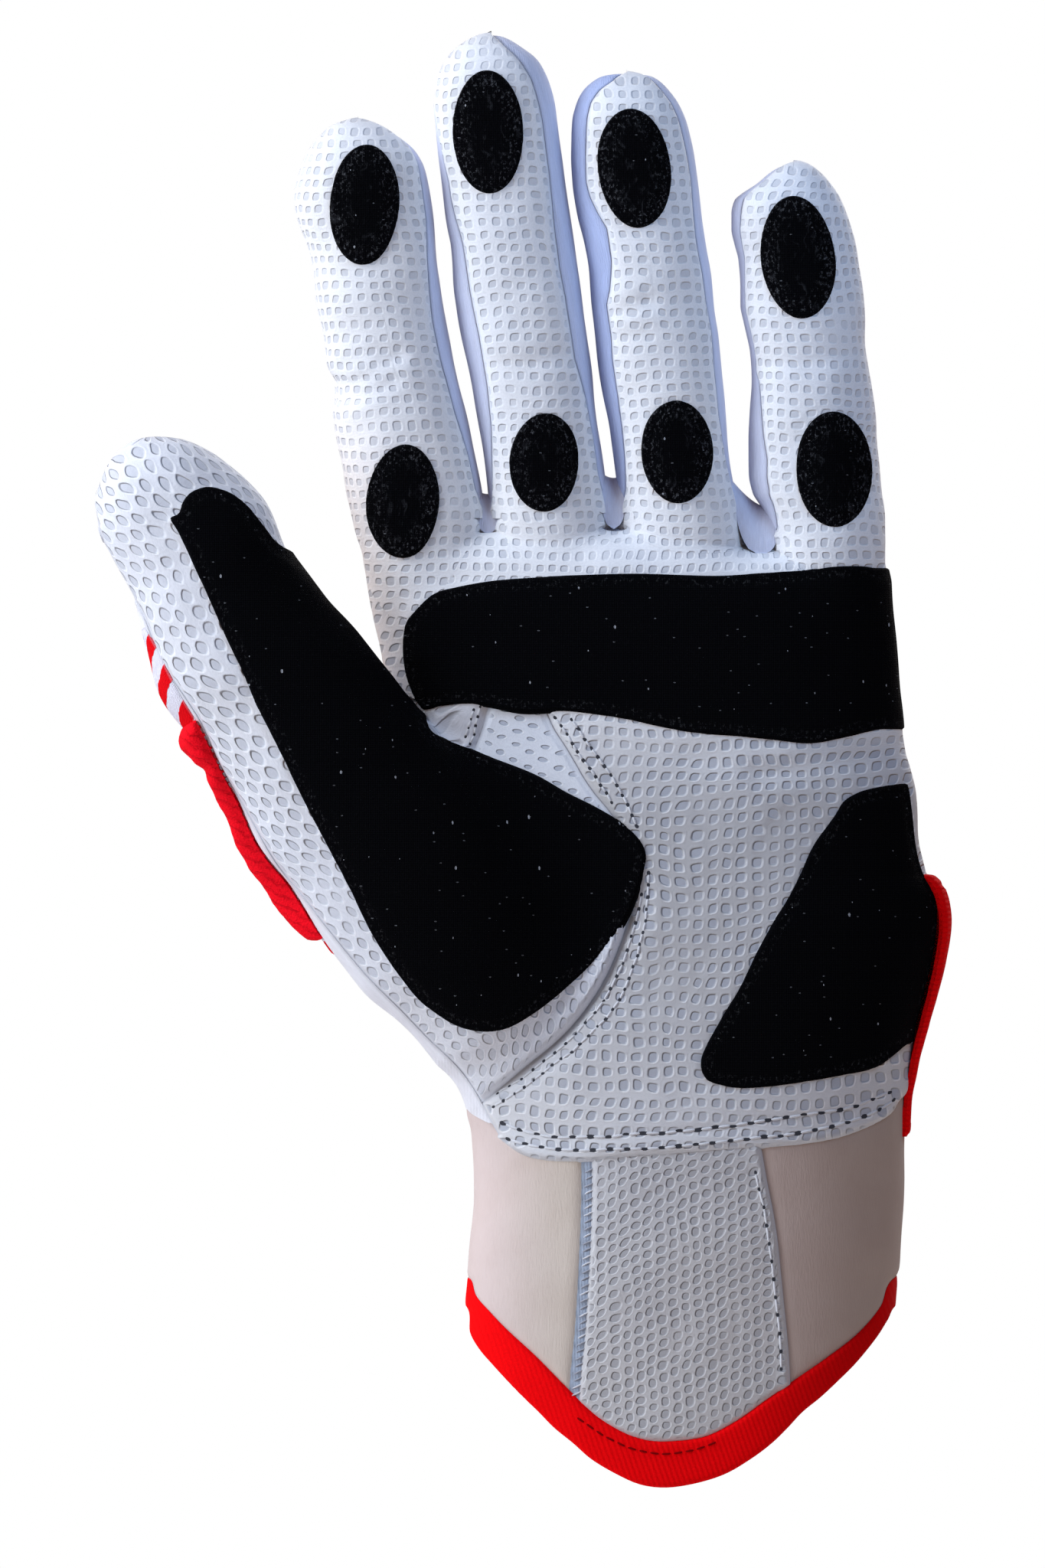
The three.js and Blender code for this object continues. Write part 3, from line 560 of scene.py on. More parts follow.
def make_palm():
    g = GRID * 1.12
    dense = TOP + np.linspace(0, math.sqrt(1972 - TOP), 3000) ** 2
    xl, xr, yf, yb = palm_ring(dense)
    rows, mer = even_rows(dense, (yb - yf) / 2, g)
    nc = int(225 / g)
    p = 2.35
    # equal spacing round a typical ring
    tt = np.linspace(0, 2 * math.pi, 8001)
    u, v = superellipse(tt, p)
    s = np.r_[0, np.cumsum(np.hypot(np.diff(u) * 43, np.diff(v) * 16))]
    t = np.interp((np.arange(nc) + 0.5) / nc * s[-1], s, tt) + math.pi / 2
    u, v = superellipse(t, p)
    xl, xr, yf, yb = palm_ring(rows)
    a, b = (xr - xl) / 2, (yb - yf) / 2
    x = ((xl + xr) / 2)[:, None] + a[:, None] * u
    y = ((yf + yb) / 2)[:, None] + b[:, None] * v
    row = shift(COL(x), np.repeat(rows[:, None], nc, 1))
    P = np.stack([x, y, Z(row)], -1).reshape(-1, 3)
    T = grid_triangles(len(rows), nc)
    if (np.cross(P[T[:, 1]] - P[T[:, 0]], P[T[:, 2]] - P[T[:, 0]]) * (P[T[:, 0]] - P.mean(0))).sum() < 0:
        T = T[:, ::-1]
    P, n, bad = finish_surface(P, T, "hand", ROW(P[:, 2]) < 1560)
    A = np.zeros((len(P), len(COLS)))
    fill(A, P, n)
    A[:, 9] = np.tile(np.degrees(np.arctan2(np.abs(u), -v)), len(rows))
    A[:, 10] = np.tile(np.sign(u), len(rows))
    A[:, 18] = 16
    mine = sdf_palm(P)
    other = sdf_thumb(P) + np.where(A[:, I["al"]] > 2.5, 50, 0)
    for o in FINGER:
        other = np.minimum(other, sdf_finger(o, P))
    A[:, I["own"]] = np.where(bad, -2.0, other - mine)
    A[:, I["u"]], A[:, I["v"]] = cells(P[:, 0], P[:, 2])
    return A, T


def make_thumb():
    end = THUMB_END
    start = _t[0, 0] - 2
    al = end - np.linspace(0, math.sqrt(end - start), 3000) ** 2
    s, a, y, b = thumb_ring(al)
    m = np.r_[0, np.cumsum(np.hypot(np.diff(al), np.diff((a + b) / 2)))]
    n = int(m[-1] / GRID) + 1
    al = np.interp(np.linspace(0, m[-1], n), m, al)
    mer = np.linspace(0, m[-1], n)
    nc = int(92 / GRID)
    t = around(nc, 2.2)
    u, v = superellipse(t, 2.2)
    s, a, y, b = thumb_ring(al)
    su = s[:, None] + a[:, None] * u
    P = np.stack([al[:, None] * TX + su * SX, y[:, None] + b[:, None] * v, al[:, None] * TZ + su * SZ], -1).reshape(-1, 3)
    T = grid_triangles(len(al), nc)
    if (np.cross(P[T[:, 1]] - P[T[:, 0]], P[T[:, 2]] - P[T[:, 0]]) * (P[T[:, 0]] - P.mean(0))).sum() < 0:
        T = T[:, ::-1]
    base_al = line_height(THUMB_BASE, P[:, 0], P[:, 2])
    P, nn, bad = finish_surface(P, T, "thumb", base_al < 7)
    A = np.zeros((len(P), len(COLS)))
    fill(A, P, nn)
    A[:, 9] = np.tile(np.degrees(np.arctan2(np.abs(u), -v)), len(al))
    A[:, 10] = np.tile(np.sign(u), len(al))
    A[:, 18] = np.repeat(np.sqrt(np.maximum(a * b, 1e-4)), nc)
    A[:, 12] = np.repeat(mer, nc)
    A[:, I["own"]] = np.where(A[:, I["al"]] > 2.5, 9.0, np.where(bad, -2.0, sdf_palm(P) - sdf_thumb(P)))
    arc = A[:, 10] * np.radians(A[:, 9]) * A[:, 18]
    A[:, I["arc"]] = arc
    v = P[:, 0] * TX + P[:, 2] * TZ
    A[:, I["u"]] = (arc * 0.985 + v * 0.17) / 2.35
    A[:, I["v"]] = (v * 0.985 - arc * 0.17) / 3.55
    A[:, I["rad"]] = np.repeat(np.sqrt(np.maximum(a * b, 1e-4)), nc)
    return A, T


def clip(A, T, f):
    """The part of a surface where f is above 0, cut cleanly along f = 0. Returns the points and triangles kept."""
    keep = f >= 0
    k = keep[T]
    count = k.sum(1)
    whole = T[count == 3]
    parts, new_rows, new_at = [whole], [], len(A)
    edges = []
    for want in (1, 2):
        t, kk = T[count == want], k[count == want]
        if not len(t):
            continue
        odd = np.argmax(kk if want == 1 else ~kk, axis=1)
        r = np.arange(len(t))
        a, b, c = t[r, odd], t[r, (odd + 1) % 3], t[r, (odd + 2) % 3]
        edges.append((want, a, b, c))
    if edges:
        pairs = np.concatenate([np.concatenate([np.stack([a, b], 1), np.stack([a, c], 1)]) for _, a, b, c in edges])
        low, high = pairs.min(1), pairs.max(1)
        key = low.astype(np.int64) * len(A) + high
        uniq, inverse = np.unique(key, return_inverse=True)
        lo, hi = uniq // len(A), uniq % len(A)
        w = (f[lo] / (f[lo] - f[hi]))[:, None]
        extra = A[lo] * (1 - w) + A[hi] * w
        ids = inverse + len(A)
        at = 0
        for want, a, b, c in edges:
            n = len(a)
            ab, ac = ids[at : at + n], ids[at + n : at + 2 * n]
            at += 2 * n
            if want == 1:
                parts.append(np.stack([a, ab, ac], 1))
            else:
                parts.append(np.stack([ab, b, c], 1))
                parts.append(np.stack([ab, c, ac], 1))
        A = np.vstack([A, extra])
    T = np.concatenate(parts)
    used = np.unique(T)
    renumber = np.full(len(A), -1)
    renumber[used] = np.arange(len(used))
    return A[used], renumber[T]


def slice_at(A, T, f):
    """Cuts every triangle that f = 0 crosses, and keeps both sides."""
    pos = f >= 0
    k = pos[T]
    count = k.sum(1)
    parts = [T[(count == 3) | (count == 0)]]
    odd_sets = []
    for want in (1, 2):
        t, kk = T[count == want], k[count == want]
        if len(t):
            odd = np.argmax(kk if want == 1 else ~kk, axis=1)
            r = np.arange(len(t))
            odd_sets.append((t[r, odd], t[r, (odd + 1) % 3], t[r, (odd + 2) % 3]))
    if not odd_sets:
        return A, T
    a, b, c = (np.concatenate([s[i] for s in odd_sets]) for i in range(3))
    pairs = np.concatenate([np.stack([a, b], 1), np.stack([a, c], 1)])
    key = pairs.min(1).astype(np.int64) * len(A) + pairs.max(1)
    uniq, inverse = np.unique(key, return_inverse=True)
    lo, hi = uniq // len(A), uniq % len(A)
    w = (f[lo] / (f[lo] - f[hi]))[:, None]
    extra = A[lo] * (1 - w) + A[hi] * w
    ids = inverse + len(A)
    ab, ac = ids[: len(a)], ids[len(a) :]
    parts += [np.stack([a, ab, ac], 1), np.stack([ab, b, c], 1), np.stack([ab, c, ac], 1)]
    return np.vstack([A, extra]), np.concatenate(parts)


def boundary(T):
    """Directed edges that only one triangle has."""
    e = np.concatenate([T[:, [0, 1]], T[:, [1, 2]], T[:, [2, 0]]])
    key = e.min(1).astype(np.int64) * (T.max() + 1) + e.max(1)
    _, first, inverse, counts = np.unique(key, return_index=True, return_inverse=True, return_counts=True)
    return e[counts[inverse] == 1]


def lattice(lo, hi, step):
    """The union's surface inside a box, one point to each lattice cell that it crosses."""
    n = [int(math.ceil((b - a) / step)) + 1 for a, b in zip(lo, hi)]
    axes = [a + np.arange(m) * step for a, m in zip(lo, n)]
    G = np.stack(np.meshgrid(*axes, indexing="ij"), -1)
    f = union(G.reshape(-1, 3), "hand").reshape(n)
    s = f < 0
    total = np.zeros((n[0] - 1, n[1] - 1, n[2] - 1, 3))
    count = np.zeros((n[0] - 1, n[1] - 1, n[2] - 1))
    corner = lambda o, arr: arr[o[0] : o[0] + n[0] - 1, o[1] : o[1] + n[1] - 1, o[2] : o[2] + n[2] - 1]
    for axis in range(3):
        for u in (0, 1):
            for v in (0, 1):
                o = [u, v]
                o.insert(axis, 0)
                q = list(o)
                q[axis] = 1
                f0, f1 = corner(o, f), corner(q, f)
                hit = corner(o, s) != corner(q, s)
                t = np.where(hit, f0 / np.where(hit, f0 - f1, 1), 0)[..., None]
                total += np.where(hit[..., None], corner(o, G) * (1 - t) + corner(q, G) * t, 0)
                count += hit
    used = count > 0
    ids = np.full(used.shape, -1)
    ids[used] = np.arange(used.sum())
    P = total[used] / count[used][:, None]
    T = []
    for axis in range(3):
        a, b = [i for i in range(3) if i != axis]
        lo_s = [slice(1, n[i] - 1) for i in range(3)]
        lo_s[axis] = slice(0, n[axis] - 1)
        hi_s = list(lo_s)
        hi_s[axis] = slice(1, n[axis])
        hit = s[tuple(lo_s)] != s[tuple(hi_s)]
        where = np.argwhere(hit)
        inner = s[tuple(lo_s)][hit]
        base = where + np.array([0 if i == axis else 1 for i in range(3)])
        quad = []
        for da, db in ((-1, -1), (0, -1), (0, 0), (-1, 0)):
            w = base.copy()
            w[:, a] += da
            w[:, b] += db
            quad.append(ids[w[:, 0], w[:, 1], w[:, 2]])
        q = np.stack(quad, 1)
        turn = inner if axis != 1 else ~inner
        q[~turn] = q[~turn][:, ::-1]
        q = q[(q >= 0).all(1)]
        T += [q[:, [0, 1, 2]], q[:, [0, 2, 3]]]
    T = np.concatenate(T)
    P = settle(P, "hand", 3)
    return P, T


# ---------------------------------------------------------------- outlines
THUMB_EDGE = [(-40, -200), (40, 420), (100, 560), (130, 700), (165, 770), (188, 810), (208, 862), (240, 910), (262, 945), (285, 1000),
              (320, 1060), (360, 1130), (400, 1180), (433, 1222), (480, 1278), (520, 1318), (560, 1360), (590, 1388), (612, 1415), (640, 1462), (700, 1560)]
THENAR = [(700, 905), (714, 934), (723, 953), (738, 976), (750, 996), (762, 1017), (776, 1037), (795, 1060), (813, 1088), (823, 1120), (824, 1160),
          (818, 1202), (805, 1241), (788, 1278), (768, 1310), (744, 1340), (716, 1367), (690, 1388), (662, 1412), (640, 1430), (560, 1490)]
CROTCH_LEFT = [(652, 860), (645, 900), (639, 922), (632, 945), (625, 965), (618, 982), (606, 1010), (590, 1060)]
HEM = [(300, 1310), (540, 1430), (612, 1462), (640, 1480), (660, 1495), (680, 1508), (705, 1515), (760, 1517), (820, 1512), (880, 1508), (940, 1503),
       (1000, 1499), (1060, 1493), (1100, 1485), (1140, 1470), (1165, 1455), (1180, 1435), (1260, 1400), (1600, 1400)]
BINDING_TOP = [(300, 1668), (600, 1668), (613, 1670), (620, 1690), (640, 1712), (660, 1732), (700, 1768), (740, 1808), (780, 1845), (820, 1868), (850, 1876),
               (880, 1876), (920, 1870), (960, 1850), (1000, 1822), (1040, 1795), (1080, 1768), (1120, 1738), (1150, 1705), (1170, 1668), (1600, 1668)]
BINDING_LOW = [(300, 1704), (606, 1704), (613, 1740), (625, 1760), (643, 1780), (662, 1800), (682, 1820), (703, 1840), (723, 1860), (748, 1880), (771, 1900),
               (805, 1920), (835, 1933), (865, 1937), (900, 1933), (944, 1920), (979, 1900), (1006, 1880), (1027, 1860), (1046, 1840), (1071, 1820),
               (1093, 1800), (1114, 1780), (1132, 1760), (1148, 1740), (1160, 1722), (1173, 1704), (1600, 1704)]
CUFF_LEFT = [(772, 1400), (771, 1518), (771, 1560), (769, 1620), (766, 1680), (762, 1740), (756, 1800), (746, 2000)]
CUFF_RIGHT = [(975, 1400), (993, 1500), (1000, 1540), (1008, 1580), (1014, 1620), (1018, 1660), (1022, 1700), (1027, 1750), (1030, 1800), (1034, 2000)]
BAND = [(530, 812), (540, 798), (565, 775), (600, 765), (640, 758), (700, 753), (760, 750), (820, 748), (940, 751), (1000, 747), (1040, 744), (1080, 738),
        (1120, 737), (1150, 740), (1230, 742), (1230, 944), (1140, 957), (1100, 966), (1054, 974), (1000, 968), (900, 960), (860, 952), (820, 943),
        (780, 937), (740, 932), (680, 933), (640, 925), (610, 922), (580, 925), (555, 930), (545, 920), (532, 890), (527, 865), (526, 835)]
THUMB_GRIP = [(224, 678), (235, 672), (240, 658), (250, 645), (272, 637), (290, 640), (305, 646), (326, 662), (346, 687), (362, 709), (385, 724), (440, 765), (500, 815), (560, 872), (556, 925),
              (562, 955), (580, 965), (610, 975), (640, 988), (700, 1012), (740, 1035), (780, 1055), (820, 1080), (838, 1098), (845, 1115), (843, 1135),
              (825, 1190), (808, 1220), (780, 1255), (740, 1290), (700, 1322), (665, 1342), (635, 1347), (600, 1340), (567, 1320), (543, 1300), (501, 1243),
              (441, 1130), (396, 1044), (345, 940), (303, 850), (264, 764), (246, 722), (234, 698)]
HEEL = [(1290, 1012), (1187, 1020), (1150, 1025), (1118, 1033), (1098, 1045), (1085, 1065), (1060, 1100), (1040, 1140), (1020, 1180), (1000, 1215), (980, 1250),
        (960, 1290), (940, 1325), (920, 1360), (912, 1380), (912, 1395), (920, 1410), (940, 1418), (965, 1422), (1000, 1420), (1060, 1412), (1100, 1405),
        (1130, 1398), (1150, 1390), (1170, 1375), (1183, 1365), (1290, 1340)]
OVALS = {  # centre column and row, half width, half height, tilt in degrees
    "index_tip_grip": (477, 270, 47, 80, 3), "index_base_grip": (527, 655, 49, 76, 3),
    "middle_tip_grip": (638, 176, 48, 82, -2), "middle_base_grip": (711, 605, 46, 67, 2),
    "ring_tip_grip": (828, 223, 49, 80, -6), "ring_base_grip": (884, 591, 48, 70, -2),
    "little_tip_grip": (1041, 339, 50, 82, -7), "little_base_grip": (1088, 615, 51, 78, -2),
}
SLIT_C, SLIT_R, SLIT_HALF = 905, 1345, 1.3
STRAP = [(1330, 1134), (1215, 1140), (1180, 1147), (1100, 1164), (1000, 1182), (800, 1216), (730, 1227), (702, 1241), (690, 1268), (690, 1395), (702, 1424),
         (730, 1440), (800, 1450), (1000, 1472), (1180, 1484), (1330, 1486)]
GUARD_TOP, GUARD_LOW = 945, 1245


def oval(c, r, w, h, tilt, n=72):
    t = np.linspace(0, 2 * math.pi, n, endpoint=False)
    a = math.radians(tilt)
    x, y = w * np.cos(t), h * np.sin(t)
    return np.stack([c + x * math.cos(a) - y * math.sin(a), r + x * math.sin(a) + y * math.cos(a)], 1)


E_THUMB, E_THENAR, E_CROTCH = spline(THUMB_EDGE), spline(THENAR), spline(CROTCH_LEFT)
E_HEM, E_BTOP, E_BLOW = spline(HEM), spline(BINDING_TOP), spline(BINDING_LOW)
E_CLEFT, E_CRIGHT = spline(CUFF_LEFT, step=6), spline(CUFF_RIGHT, step=6)
O_BAND, O_THUMB, O_HEEL, O_STRAP = spline(BAND, True), spline(THUMB_GRIP, True), spline(HEEL, True), spline(STRAP, True, 3)
O_OVAL = {k: oval(*v) for k, v in OVALS.items()}
HAND_SPLIT, FINGER_SPLIT = 3.0, 4.8

# ---------------------------------------------------------------- the base surfaces
SURF = {}
for _name in FINGER:
    SURF[_name] = make_finger(_name)
SURF["palm"] = make_palm()
SURF["thumb"] = make_thumb()
FIELD = {}  # distance fields for each surface
WEBS = {"web_index": (637, 690, 3.6, 675), "web_middle": (803, 683, 3.6, 668), "web_ring": (1000, 716, 4.0, 700), "web_thumb": None}


def web_distance(key, A):
    """Positive inside the small region that one of the web meshes covers."""
    if key == "web_thumb":  # all round the valley where the thumb joins the hand
        P = A[:, 0:3]
        d = np.full(len(A), -9.0)
        m = (A[:, I["al"]] < 3) & (A[:, 0] < 10) & (A[:, 2] > 20)
        d[m] = 5.5 - np.abs(sdf_palm(P[m]) - sdf_thumb(P[m]))
        return np.minimum(d, -1.0 - A[:, I["al"]])
    c, r, radius, top = WEBS[key]
    return np.minimum(radius - np.hypot(A[:, 6] - c, A[:, 7] - r) * K, (A[:, 7] - top) * K)


def make_web(key):
    if key == "web_thumb":
        P, T = lattice((-68, -28, 34), (-6, 24, 116), 0.6)
        ok = (sdf_palm(P) - sdf_thumb(P))
        near = np.abs(ok) < 7.5
        T = T[near[T].all(1)]
        used = np.unique(T)
        renumber = np.full(len(P), -1)
        renumber[used] = np.arange(len(used))
        P, T = P[used], renumber[T]
    else:
        c, r, radius, top = WEBS[key]
        x, z, m = float(X(c)), float(Z(r)), radius + 0.9
        P, T = lattice((x - m, -15, z - m), (x + m, 17, z + m), 0.5)
    A = np.zeros((len(P), len(COLS)))
    fill(A, P, gradient(P, "hand"))
    A[:, 9] = 90
    A[:, 18] = 9
    A[:, I["u"]], A[:, I["v"]] = cells(P[:, 0], P[:, 2])
    A[:, I["own"]] = web_distance(key, A)
    return A, T


for _name in list(SURF):
    for _key in WEBS:
        _A = SURF[_name][0]
        _A[:, I["own"]] = np.minimum(_A[:, I["own"]], 0.25 - web_distance(_key, _A))
for _key in WEBS:
    SURF[_key] = make_web(_key)


def thumb_split(A):
    """Where thumb leather meets the back fabric on the side towards the fingers."""
    s, a, y, b = thumb_ring(A[:, 0] * TX + A[:, 2] * TZ)
    up = smoothstep(-12, 6, A[:, I["al"]])
    return (y + 2.0) * up + HAND_SPLIT * (1 - up)


def fields(name, A):
    """Signed distances in mm, shared by every panel on this surface."""
    c, r, y = A[:, 6], A[:, 7], A[:, 8]
    out = {}
    if name in FINGER:
        f = FINGER[name]
        base, mid = line_height(f["base"], A[:, 0], A[:, 2]), line_height(f["mid"], A[:, 0], A[:, 2])
        out["base"], out["mid"] = base, mid
        sides = []
        for sg, key, wraps in ((-1, "seam_left", name == "index"), (1, "seam_right", name == "little")):
            rows, w = table(f[key])
            w = np.interp(r, rows, w)
            w = np.where(r > 700, w, w)
            d = np.radians(w - A[:, 9]) * A[:, 18]
            if wraps:
                d = FINGER_SPLIT - y
            sides.append(np.where(A[:, 10] == sg, d, 99.0))
        front = np.minimum(*sides)
        low = smoothstep(690, 745, r)
        front = front * (1 - low) + (HAND_SPLIT - y) * low
        out["front"] = front
        out["side"] = np.minimum(-front, FINGER_SPLIT * (1 - low) + HAND_SPLIT * low - y)
        out["back"] = y - (FINGER_SPLIT * (1 - low) + HAND_SPLIT * low)
        return out
    if name != "thumb":
        top = (r - (TOP + palm_top(c))) * K
        web = HAND_SPLIT - 7.5 * (1 - smoothstep(0.5, 8, top)) * smoothstep(560, 620, c) * (1 - smoothstep(1040, 1100, c))
        split = web
        if name == "web_thumb":
            t = smoothstep(-3, 3, sdf_palm(A[:, 0:3]) - sdf_thumb(A[:, 0:3]))
            split = split * (1 - t) + thumb_split(A) * t
        out["front"] = split - y
        out["side"] = np.minimum(y - split, HAND_SPLIT - y)
        for cw, rw, half in ((637, 685, 26), (801, 680, 26), (992, 716, 34)):  # the leather's edges meet in a narrow U
            m = (np.abs(c - cw) < half + 3) & (r < rw + 8) & (y < 3)
            v = (r[m] - (rw - 1.9 * np.clip(np.abs(c[m] - cw) - 4, 0, None))) * K * 0.47
            out["front"][m] = v
            out["side"][m] = -v
        out["back"] = y - HAND_SPLIT
    else:
        split = thumb_split(A)
        out["front"] = split - y
        out["side"] = np.full(len(A), -99.0)
        out["back"] = y - split
    hem = np.full(len(A), -99.0)
    m = (r > 1380) & (r < 1600)
    hem[r <= 1380] = 99
    hem[m] = height_distance(c[m], r[m], E_HEM)
    out["hem"] = hem
    edge = side_distance(c, r, E_THUMB)
    # the leather's outer edge only counts on the palm side and above the hem
    out["edge"] = edge
    fr = out["front"].copy()
    upper = np.where(r < 1480, edge, 99.0)
    out["front"] = np.where((y < split) & (r < 1480), np.minimum(fr, upper), fr)
    out["back"] = np.where((y < split) & (r < 1480) & (edge < 0), -edge, np.where((r < 1480) & (edge < 3) & (y < split), -edge, out["back"]))
    return out


def kind(name):
    return "palm" if name in WEBS else name


def thumb_grip_distance(name, A):
    d = poly_distance(A[:, 6], A[:, 7], O_THUMB)
    if name == "thumb":
        low = smoothstep(3, -6, A[:, I["al"]])
        return np.minimum(d, (thumb_split(A) - 0.5) * (1 - low) + 3.5 * low - A[:, 8])
    d = np.minimum(d, 3.5 - 2.6 * (1 - smoothstep(925, 965, A[:, 7])) - A[:, 8])
    return np.minimum(d, np.where(A[:, I["al"]] > -0.8, 0.6 - A[:, I["al"]], 99))


def patch_fields(name, A):
    """Distances in mm inside each grip patch, and how deep under any of them a point of the leather lies."""
    c, r, y = A[:, 6], A[:, 7], A[:, 8]
    out = {}
    if name in FINGER:
        for key, outline in O_OVAL.items():
            if key.split("_")[0] == name:
                out["tip" if "tip" in key else "low"] = np.minimum(poly_distance(c, r, outline), 1.0 - y)
    if name != "thumb":
        out["band"] = np.minimum(poly_distance(c, r, O_BAND), 0.5 - y)
    if name == "palm":
        out["heel"] = np.minimum(poly_distance(c, r, O_HEEL), -4.1 - y)
    if name not in FINGER:
        out["grip"] = thumb_grip_distance(name, A)
    out["cover"] = np.max(list(out.values()), axis=0)
    return out


for _name in SURF:
    FIELD[_name] = fields(_name, SURF[_name][0])
    FIELD[_name].update(patch_fields(kind(_name), SURF[_name][0]))


# ---------------------------------------------------------------- panels
def roll(d, lift, drop=0.75, width=0.9):
    """Height of a panel with its edge turned in."""
    return lift - (lift + drop) * np.exp(-np.clip(d, -0.4, None) ** 2 / width ** 2 * np.where(d < 0, 0, 1))


def hand_noise(A, size, seed, sx=1.0, sz=1.0):
    return noise3(A[:, 0] / (size * sx), A[:, 1] / size, A[:, 2] / (size * sz), seed)


def panel(pick, height, only=None, skirt=1.0, levels=(0.0, 0.3, 0.75)):
    """Pieces of the base surfaces where pick(name, A, F) is above 0, lifted by height(name, A, F, d)."""
    out = {}
    for name, (A, T) in SURF.items():
        if only and kind(name) not in only:
            continue
        F = FIELD[name]
        d = pick(kind(name), A, F)
        if d is None or d.max() <= 0:
            continue
        wide = (d > -1.8) & (A[:, I["own"]] > -1.8)
        t = T[wide[T].all(1)]
        if not len(t):
            continue
        used = np.unique(t)
        renumber = np.full(len(A), -1)
        renumber[used] = np.arange(len(used))
        t = renumber[t]
        keys = list(F)
        B = np.hstack([A[used]] + [F[k][used][:, None] for k in keys])
        B[:, I["d"]] = d[used]
        for level in levels:
            B, t = slice_at(B, t, B[:, I["d"]] - level + 1e-7)
        G = {k: B[:, len(COLS) + i] for i, k in enumerate(keys)}
        B[:, 3:6] /= np.maximum(np.linalg.norm(B[:, 3:6], axis=1, keepdims=True), 1e-9)
        h = height(kind(name), B, G, B[:, I["d"]])
        B[:, 0:3] += B[:, 3:6] * h[:, None]
        B[:, 3:6] = point_normals(B[:, 0:3], t)
        B = B[:, : len(COLS)]
        B, t = clip(B, t, B[:, I["d"]] + 1e-6)
        if not len(t):
            continue
        B, t = clip(B, t, B[:, I["own"]] + 0.1)
        if not len(t):
            continue
        if skirt:
            B, t = add_skirt(B, t, skirt)
        if name in FINGER or name in WEBS:
            z = B[:, 2]
            slope = np.where(z > LEAN_FROM, 2 * LEAN * (z - LEAN_FROM) / LEAN_SPAN ** 2, 0)
            B[:, 5] = B[:, 5] + B[:, 4] * slope
            B[:, 1] = B[:, 1] - lean(z)
        B[:, 3:6] /= np.maximum(np.linalg.norm(B[:, 3:6], axis=1, keepdims=True), 1e-9)
        out[name] = (B, t)
    return out


def add_skirt(B, t, depth):
    e = boundary(t)
    on = (np.abs(B[:, I["d"]]) < 0.02)
    e = e[on[e].all(1)]
    if not len(e):
        return B, t
    used = np.unique(e)
    at = np.full(len(B), -1)
    at[used] = np.arange(len(used)) + len(B)
    top, low = B[used].copy(), B[used].copy()
    low[:, 0:3] -= low[:, 3:6] * depth
    at2 = np.full(len(B), -1)
    at2[used] = np.arange(len(used)) + len(B) + len(used)
    a, b = e[:, 0], e[:, 1]
    # outward direction of the wall
    mid = (B[b, 0:3] - B[a, 0:3])
    side = np.cross(mid, B[a, 3:6])
    out = np.zeros((len(B), 3))
    np.add.at(out, a, side)
    np.add.at(out, b, side)
    out = out[used]
    out /= np.maximum(np.linalg.norm(out, axis=1, keepdims=True), 1e-9)
    top[:, 3:6] = out
    low[:, 3:6] = out
    walls = np.concatenate([np.stack([at[b], at[a], at2[a]], 1), np.stack([at[b], at2[a], at2[b]], 1)])
    return np.vstack([B, top, low]), np.vstack([t, walls])


def join(parts):
    As, Ts, n = [], [], 0
    for A, T in parts:
        if len(T):
            As.append(A)
            Ts.append(T + n)
            n += len(A)
    return (np.vstack(As), np.vstack(Ts)) if As else (np.zeros((0, len(COLS))), np.zeros((0, 3), int))


PIECES = []


def make_object(name, A, T, material, body, slot=None, nodes=(), blend=None, padded=None):
    me = bpy.data.meshes.new(name)
    me.vertices.add(len(A))
    me.vertices.foreach_set("co", (A[:, 0:3] / 1000).astype(np.float32).ravel())
    me.loops.add(len(T) * 3)
    me.loops.foreach_set("vertex_index", T.astype(np.int32).ravel())
    me.polygons.add(len(T))
    me.polygons.foreach_set("loop_start", np.arange(0, len(T) * 3, 3, dtype=np.int32))
    me.polygons.foreach_set("use_smooth", np.ones(len(T), bool))
    me.update(calc_edges=True)
    me.validate()
    pat = me.attributes.new("pat", "FLOAT_VECTOR", "POINT")
    pat.data.foreach_set("vector", np.stack([A[:, I["u"]], A[:, I["v"]], A[:, I["d"]]], 1).astype(np.float32).ravel())
    me.normals_split_custom_set_from_vertices([tuple(v) for v in A[:, 3:6]])
    ob = bpy.data.objects.new(name, me)
    bpy.context.scene.collection.objects.link(ob)
    me.materials.append(material)
    if nodes:
        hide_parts(*nodes)
    if blend:
        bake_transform(ob)
    else:
        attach(ob, body)
    PIECES.append(ob)
    return ob


# ---------------------------------------------------------------- which body carries what
def at(c, r, y=0.0):
    return Vector((float(X(c)), y, float(Z(r)))) / 1000


def along(line, mm):
    """A point mm above a hinge line, along its own normal."""
    (c, r), slope = line
    k = -slope
    s = math.hypot(1, k)
    return Vector((float(X(c)) - k / s * mm, 0, float(Z(r)) + mm / s)) / 1000


def heights(A, line):
    return line_height(line, A[:, 0], A[:, 2])


def split_finger(name, part):
    """Hand, lower and upper portions of a piece on a finger."""
    f = FINGER[name]
    A, T = part
    hand = clip(A, T, -1.0 - heights(A, f["base"]))
    rest = clip(A, T, heights(A, f["base"]) + 1.0)
    low = clip(rest[0], rest[1], -10.0 - heights(rest[0], f["mid"])) if len(rest[1]) else rest
    up = clip(rest[0], rest[1], heights(rest[0], f["mid"]) + 10.0) if len(rest[1]) else rest
    return hand, low, up


def split_thumb(part):
    A, T = part
    hand = clip(A, T, -1.0 - heights(A, THUMB_BASE))
    rest = clip(A, T, heights(A, THUMB_BASE) + 1.0)
    low = clip(rest[0], rest[1], -8.0 - heights(rest[0], THUMB_MID)) if len(rest[1]) else rest
    up = clip(rest[0], rest[1], heights(rest[0], THUMB_MID) + 8.0) if len(rest[1]) else rest
    return hand, low, up


